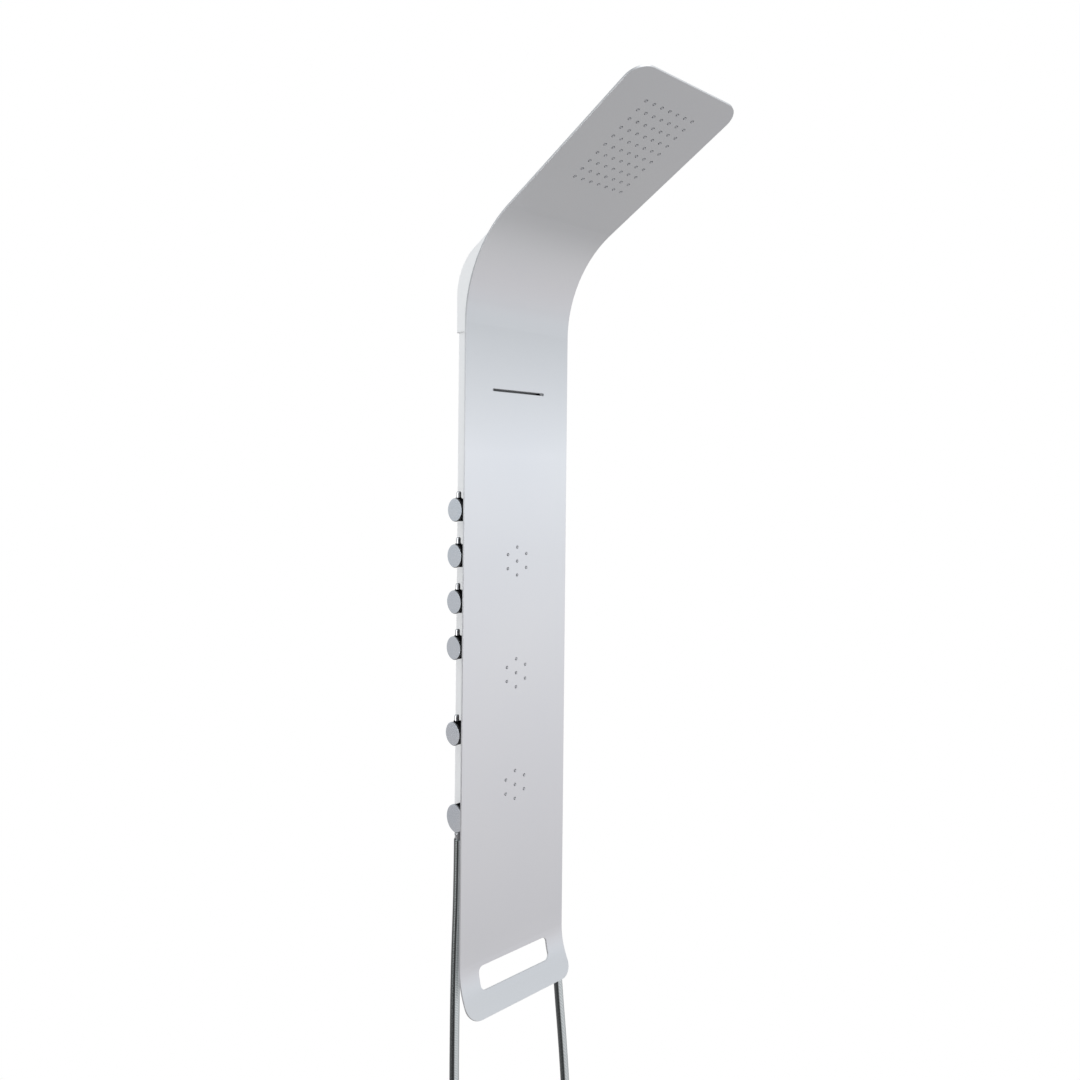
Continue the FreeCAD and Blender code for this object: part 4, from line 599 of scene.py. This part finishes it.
# Painted shade darkens the grooves. Painted reflection makes the hose dark on its left and bright on its
# right.
GROOVE_PAINTED_SHADE = (0.20, 0.22, 0.225, 1)
HOSE_PAINTED_REFLECTION = (
    (0.0, 0.40), (0.20, 0.28), (0.44, 0.32), (0.53, 0.6), (0.59, 1.0), (0.95, 1.0), (1.0, 0.8),
)


def hose_line():
    """The route as one smooth line: a thin mesh of points read from its spline."""
    curve = bpy.data.curves.new("hose_line", "CURVE")
    curve.dimensions = "3D"
    curve.resolution_u = LINE_STEPS
    spline = curve.splines.new("NURBS")
    spline.points.add(len(HOSE_ROUTE) - 1)
    for point, (x, z) in zip(spline.points, HOSE_ROUTE):
        point.co = (x, HOSE_Y, z, 1)
    spline.order_u = 3
    spline.use_endpoint_u = True
    holder = in_scene("hose_line", curve)
    line = evaluated_mesh(holder)
    bpy.data.objects.remove(holder)
    return line


def hose_metal():
    """Steel ribs with a painted reflection by side, dark on the left and bright on the right, and painted
    shade in the grooves by the mesh's own groove value.
    """
    material = finish("hose_metal", 1.0, dark=(0.85, 0.935, 0.925), light=(0.98, 1.0, 1.0), clouds=260.0,
                      grain=(400, 400, 400), smooth=0.12, rough=0.24, relief=0.05, depth=0.0002, edge=0.0002)
    painted_light_by_side(material, SOFT_RIGHT, HOSE_PAINTED_REFLECTION)
    tree = material.node_tree
    groove = tree.nodes.new("ShaderNodeAttribute")
    groove.attribute_name = "groove"
    shadow = tree.nodes.new("ShaderNodeRGB")
    shadow.outputs["Color"].default_value = GROOVE_PAINTED_SHADE
    tint(material, shadow.outputs["Color"], groove.outputs["Fac"])
    return material


def ribbed_tube():
    """The tree that turns a line into the sleeve: ribs by the points' count along the line."""
    sizes = {"Steps": 0, "Radius": HOSE_RADIUS, "Groove Depth": RIB_DEPTH, "Sides": HOSE_SIDES}
    tree = tree_with_sizes("ribbed_tube", sizes)

    def math_node(operation, *inputs):
        made = tree.nodes.new("ShaderNodeMath")
        made.operation = operation
        for socket, value in zip(made.inputs, inputs):
            if isinstance(value, (int, float)):
                socket.default_value = value
            else:
                tree.links.new(value, socket)
        return made.outputs[0]

    given = tree.nodes.new("NodeGroupInput")
    line = tree.nodes.new("GeometryNodeMeshToCurve")
    even = tree.nodes.new("GeometryNodeResampleCurve")
    count = tree.nodes.new("GeometryNodeInputIndex")
    store = tree.nodes.new("GeometryNodeStoreNamedAttribute")
    store.data_type = "FLOAT"
    store.inputs["Name"].default_value = "groove"
    ring = tree.nodes.new("GeometryNodeCurvePrimitiveCircle")
    tube = tree.nodes.new("GeometryNodeCurveToMesh")
    tube.inputs["Fill Caps"].default_value = True
    wave = math_node("COSINE", math_node("MULTIPLY", count.outputs[0], 2 * math.pi / RIB_STEPS))
    groove = math_node("POWER", math_node("MULTIPLY_ADD", wave, 0.5, 0.5), GROOVE_NARROWING)
    depth = math_node("DIVIDE", given.outputs["Groove Depth"], given.outputs["Radius"])
    scale = math_node("SUBTRACT", 1.0, math_node("MULTIPLY", groove, depth))
    value = next(socket for socket in store.inputs if socket.name == "Value" and socket.type == "VALUE")
    for output, to in ((given.outputs["Geometry"], line.inputs[0]),
                       (line.outputs[0], even.inputs["Curve"]),
                       (given.outputs["Steps"], even.inputs["Count"]),
                       (even.outputs[0], store.inputs["Geometry"]),
                       (groove, value), (store.outputs[0], tube.inputs["Curve"]),
                       (given.outputs["Sides"], ring.inputs["Resolution"]),
                       (given.outputs["Radius"], ring.inputs["Radius"]),
                       (ring.outputs[0], tube.inputs["Profile Curve"]),
                       (scale, tube.inputs["Scale"])):
        tree.links.new(output, to)
    end_tree(tree, tube.outputs[0], hose_metal())
    return tree, sizes


def shower_hose():
    """The sleeve along the route."""
    line = hose_line()
    path = [vert.co.copy() for vert in line.vertices]
    length = sum((b - a).length for a, b in zip(path, path[1:]))
    hose = in_scene("hose", line)
    tree, sizes = ribbed_tube()
    sizes["Steps"] = int(length / RIB_PITCH) * RIB_STEPS + 1
    plain_mesh(hose, tree, sizes)
    hose.data.shade_smooth()
    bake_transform(hose)
    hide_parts("shower_hose")


shower_hose()


# ---- studio -------------------------------------------------------------------------------
# A plain white room: white to the camera, over a white floor. What the metal mirrors is soft
# grey by height and by side: bright at the right, dim at the left and behind, and darkest just
# left of the camera.
SOFT_FRONT = (-0.678, -0.735, 0.0)
BY_HEIGHT = (
    (0.00, (0.53, 0.53, 0.53)), (0.14, (0.65, 0.65, 0.66)), (0.34, (0.78, 0.765, 0.79)),
    (0.44, (0.88, 0.885, 0.92)), (0.50, (0.93, 0.97, 1.02)), (0.545, (0.80, 0.85, 0.90)),
    (0.60, (0.74, 0.77, 0.80)), (1.00, (0.80, 0.82, 0.84)),
)
BY_SIDE = (
    (0.00, 0.55), (0.16, 0.50), (0.25, 0.50), (0.34, 0.34), (0.40, 0.18), (0.50, 0.18),
    (0.54, 0.95), (0.62, 1.0), (0.78, 1.0), (0.90, 0.62), (1.00, 0.55),
)
SIDE_SHARE = ((0.00, 0.0), (0.12, 1.0), (0.505, 1.0), (0.58, 0.2), (1.00, 0.0))
FLOOR_DROP = 0.25
FLOOR_HALF = 9.0


def studio_floor():
    """A white floor for the camera alone: the parts don't mirror it or take light from it."""
    bm = bmesh.new()
    bmesh.ops.create_grid(bm, x_segments=1, y_segments=1, size=FLOOR_HALF)
    floor = in_scene("floor", mesh_from(bm, "floor"))
    floor.location = (0, 0, cad_low.z - FLOOR_DROP)
    floor.visible_glossy = False
    floor.visible_diffuse = False
    material = bpy.data.materials.new("floor")
    material.use_nodes = True
    tree = material.node_tree
    tree.nodes.remove(tree.nodes["Principled BSDF"])
    white = tree.nodes.new("ShaderNodeEmission")
    tree.links.new(white.outputs[0], tree.nodes["Material Output"].inputs["Surface"])
    floor.data.materials.append(material)


def studio_world():
    """White to the camera. To everything else, tones by height times tones by side."""
    world = bpy.data.worlds.new("studio")
    bpy.context.scene.world = world
    world.use_nodes = True
    tree = world.node_tree
    tree.nodes.clear()

    def node(kind, **settings):
        made = tree.nodes.new(kind)
        for name, value in settings.items():
            setattr(made, name, value)
        return made

    place = node("ShaderNodeTexCoord").outputs["Generated"]
    split = node("ShaderNodeSeparateXYZ")
    tree.links.new(place, split.inputs[0])
    height = mapped(tree, split.outputs["Z"], -1.0, 1.0)
    turn = node("ShaderNodeMath", operation="ARCTAN2")
    for direction, socket in zip((SOFT_RIGHT, SOFT_FRONT), turn.inputs):
        dot = node("ShaderNodeVectorMath", operation="DOT_PRODUCT")
        dot.inputs[1].default_value = direction
        tree.links.new(place, dot.inputs[0])
        tree.links.new(dot.outputs["Value"], socket)
    tone = node("ShaderNodeMixRGB", blend_type="MULTIPLY")
    side = mapped(tree, turn.outputs[0], -math.pi, math.pi)
    tree.links.new(ramp_over(tree, height, SIDE_SHARE), tone.inputs["Fac"])
    tree.links.new(ramp_over(tree, height, BY_HEIGHT), tone.inputs["Color1"])
    tree.links.new(ramp_over(tree, side, BY_SIDE), tone.inputs["Color2"])
    room = node("ShaderNodeBackground")
    white = node("ShaderNodeBackground")
    white.inputs["Color"].default_value = (1, 1, 1, 1)
    choice = node("ShaderNodeMixShader")
    tree.links.new(tone.outputs["Color"], room.inputs["Color"])
    tree.links.new(node("ShaderNodeLightPath").outputs["Is Camera Ray"], choice.inputs[0])
    tree.links.new(room.outputs[0], choice.inputs[1])
    tree.links.new(white.outputs[0], choice.inputs[2])
    tree.links.new(choice.outputs[0], node("ShaderNodeOutputWorld").inputs["Surface"])


def soft_panel(name, place, look_at, size, power):
    """A rectangular lamp that looks at a point."""
    light = bpy.data.lights.new(name, "AREA")
    light.shape = "RECTANGLE"
    light.size, light.size_y = size
    light.energy = power
    lamp = in_scene(name, light)
    lamp.location = place
    lamp.rotation_mode = "QUATERNION"
    lamp.rotation_quaternion = (Vector(look_at) - Vector(place)).to_track_quat("-Z", "Y")


studio_floor()
studio_world()
soft_panel("left_panel", place=(-2.9, 0.5, 0.15), look_at=(0, 0, 0), size=(1.8, 2.6), power=41)
soft_panel("top_panel", place=(0.2, -1.2, 2.8), look_at=(0, 0, 0.2), size=(2.0, 1.6), power=8)


# ---- camera -------------------------------------------------------------------------------
# The photograph's view, from the front left at chest height. Its place, turn, lens and the
# small shift of its frame follow from the sheet's corners and bends.
CAMERA_PLACE = (-0.8749, -1.0571, 0.2284)
CAMERA_YAW = math.radians(42.682)
CAMERA_PITCH = math.radians(-0.302)
CAMERA_ROLL = math.radians(0.581)
CAMERA_LENS = 29.716
CAMERA_SENSOR = 36.0
CAMERA_SHIFT = -0.0468
CAMERA_NEAR = 0.02


def photo_camera():
    """A camera set upright from its yaw, pitch and roll."""
    level = math.cos(CAMERA_PITCH)
    ahead = Vector((math.sin(CAMERA_YAW) * level, math.cos(CAMERA_YAW) * level, math.sin(CAMERA_PITCH)))
    side = Vector((math.cos(CAMERA_YAW), -math.sin(CAMERA_YAW), 0))
    upright = side.cross(ahead)
    right = side * math.cos(CAMERA_ROLL) + upright * math.sin(CAMERA_ROLL)
    up = upright * math.cos(CAMERA_ROLL) - side * math.sin(CAMERA_ROLL)
    data = bpy.data.cameras.new("camera")
    data.sensor_width = CAMERA_SENSOR
    data.lens = CAMERA_LENS
    data.shift_y = CAMERA_SHIFT
    data.clip_start = CAMERA_NEAR
    camera = in_scene("camera", data)
    turn = Matrix((right, up, -ahead)).transposed().to_4x4()
    camera.matrix_world = Matrix.Translation(CAMERA_PLACE) @ turn
    bpy.context.scene.camera = camera
    bpy.context.scene.view_settings.view_transform = "Standard"


photo_camera()
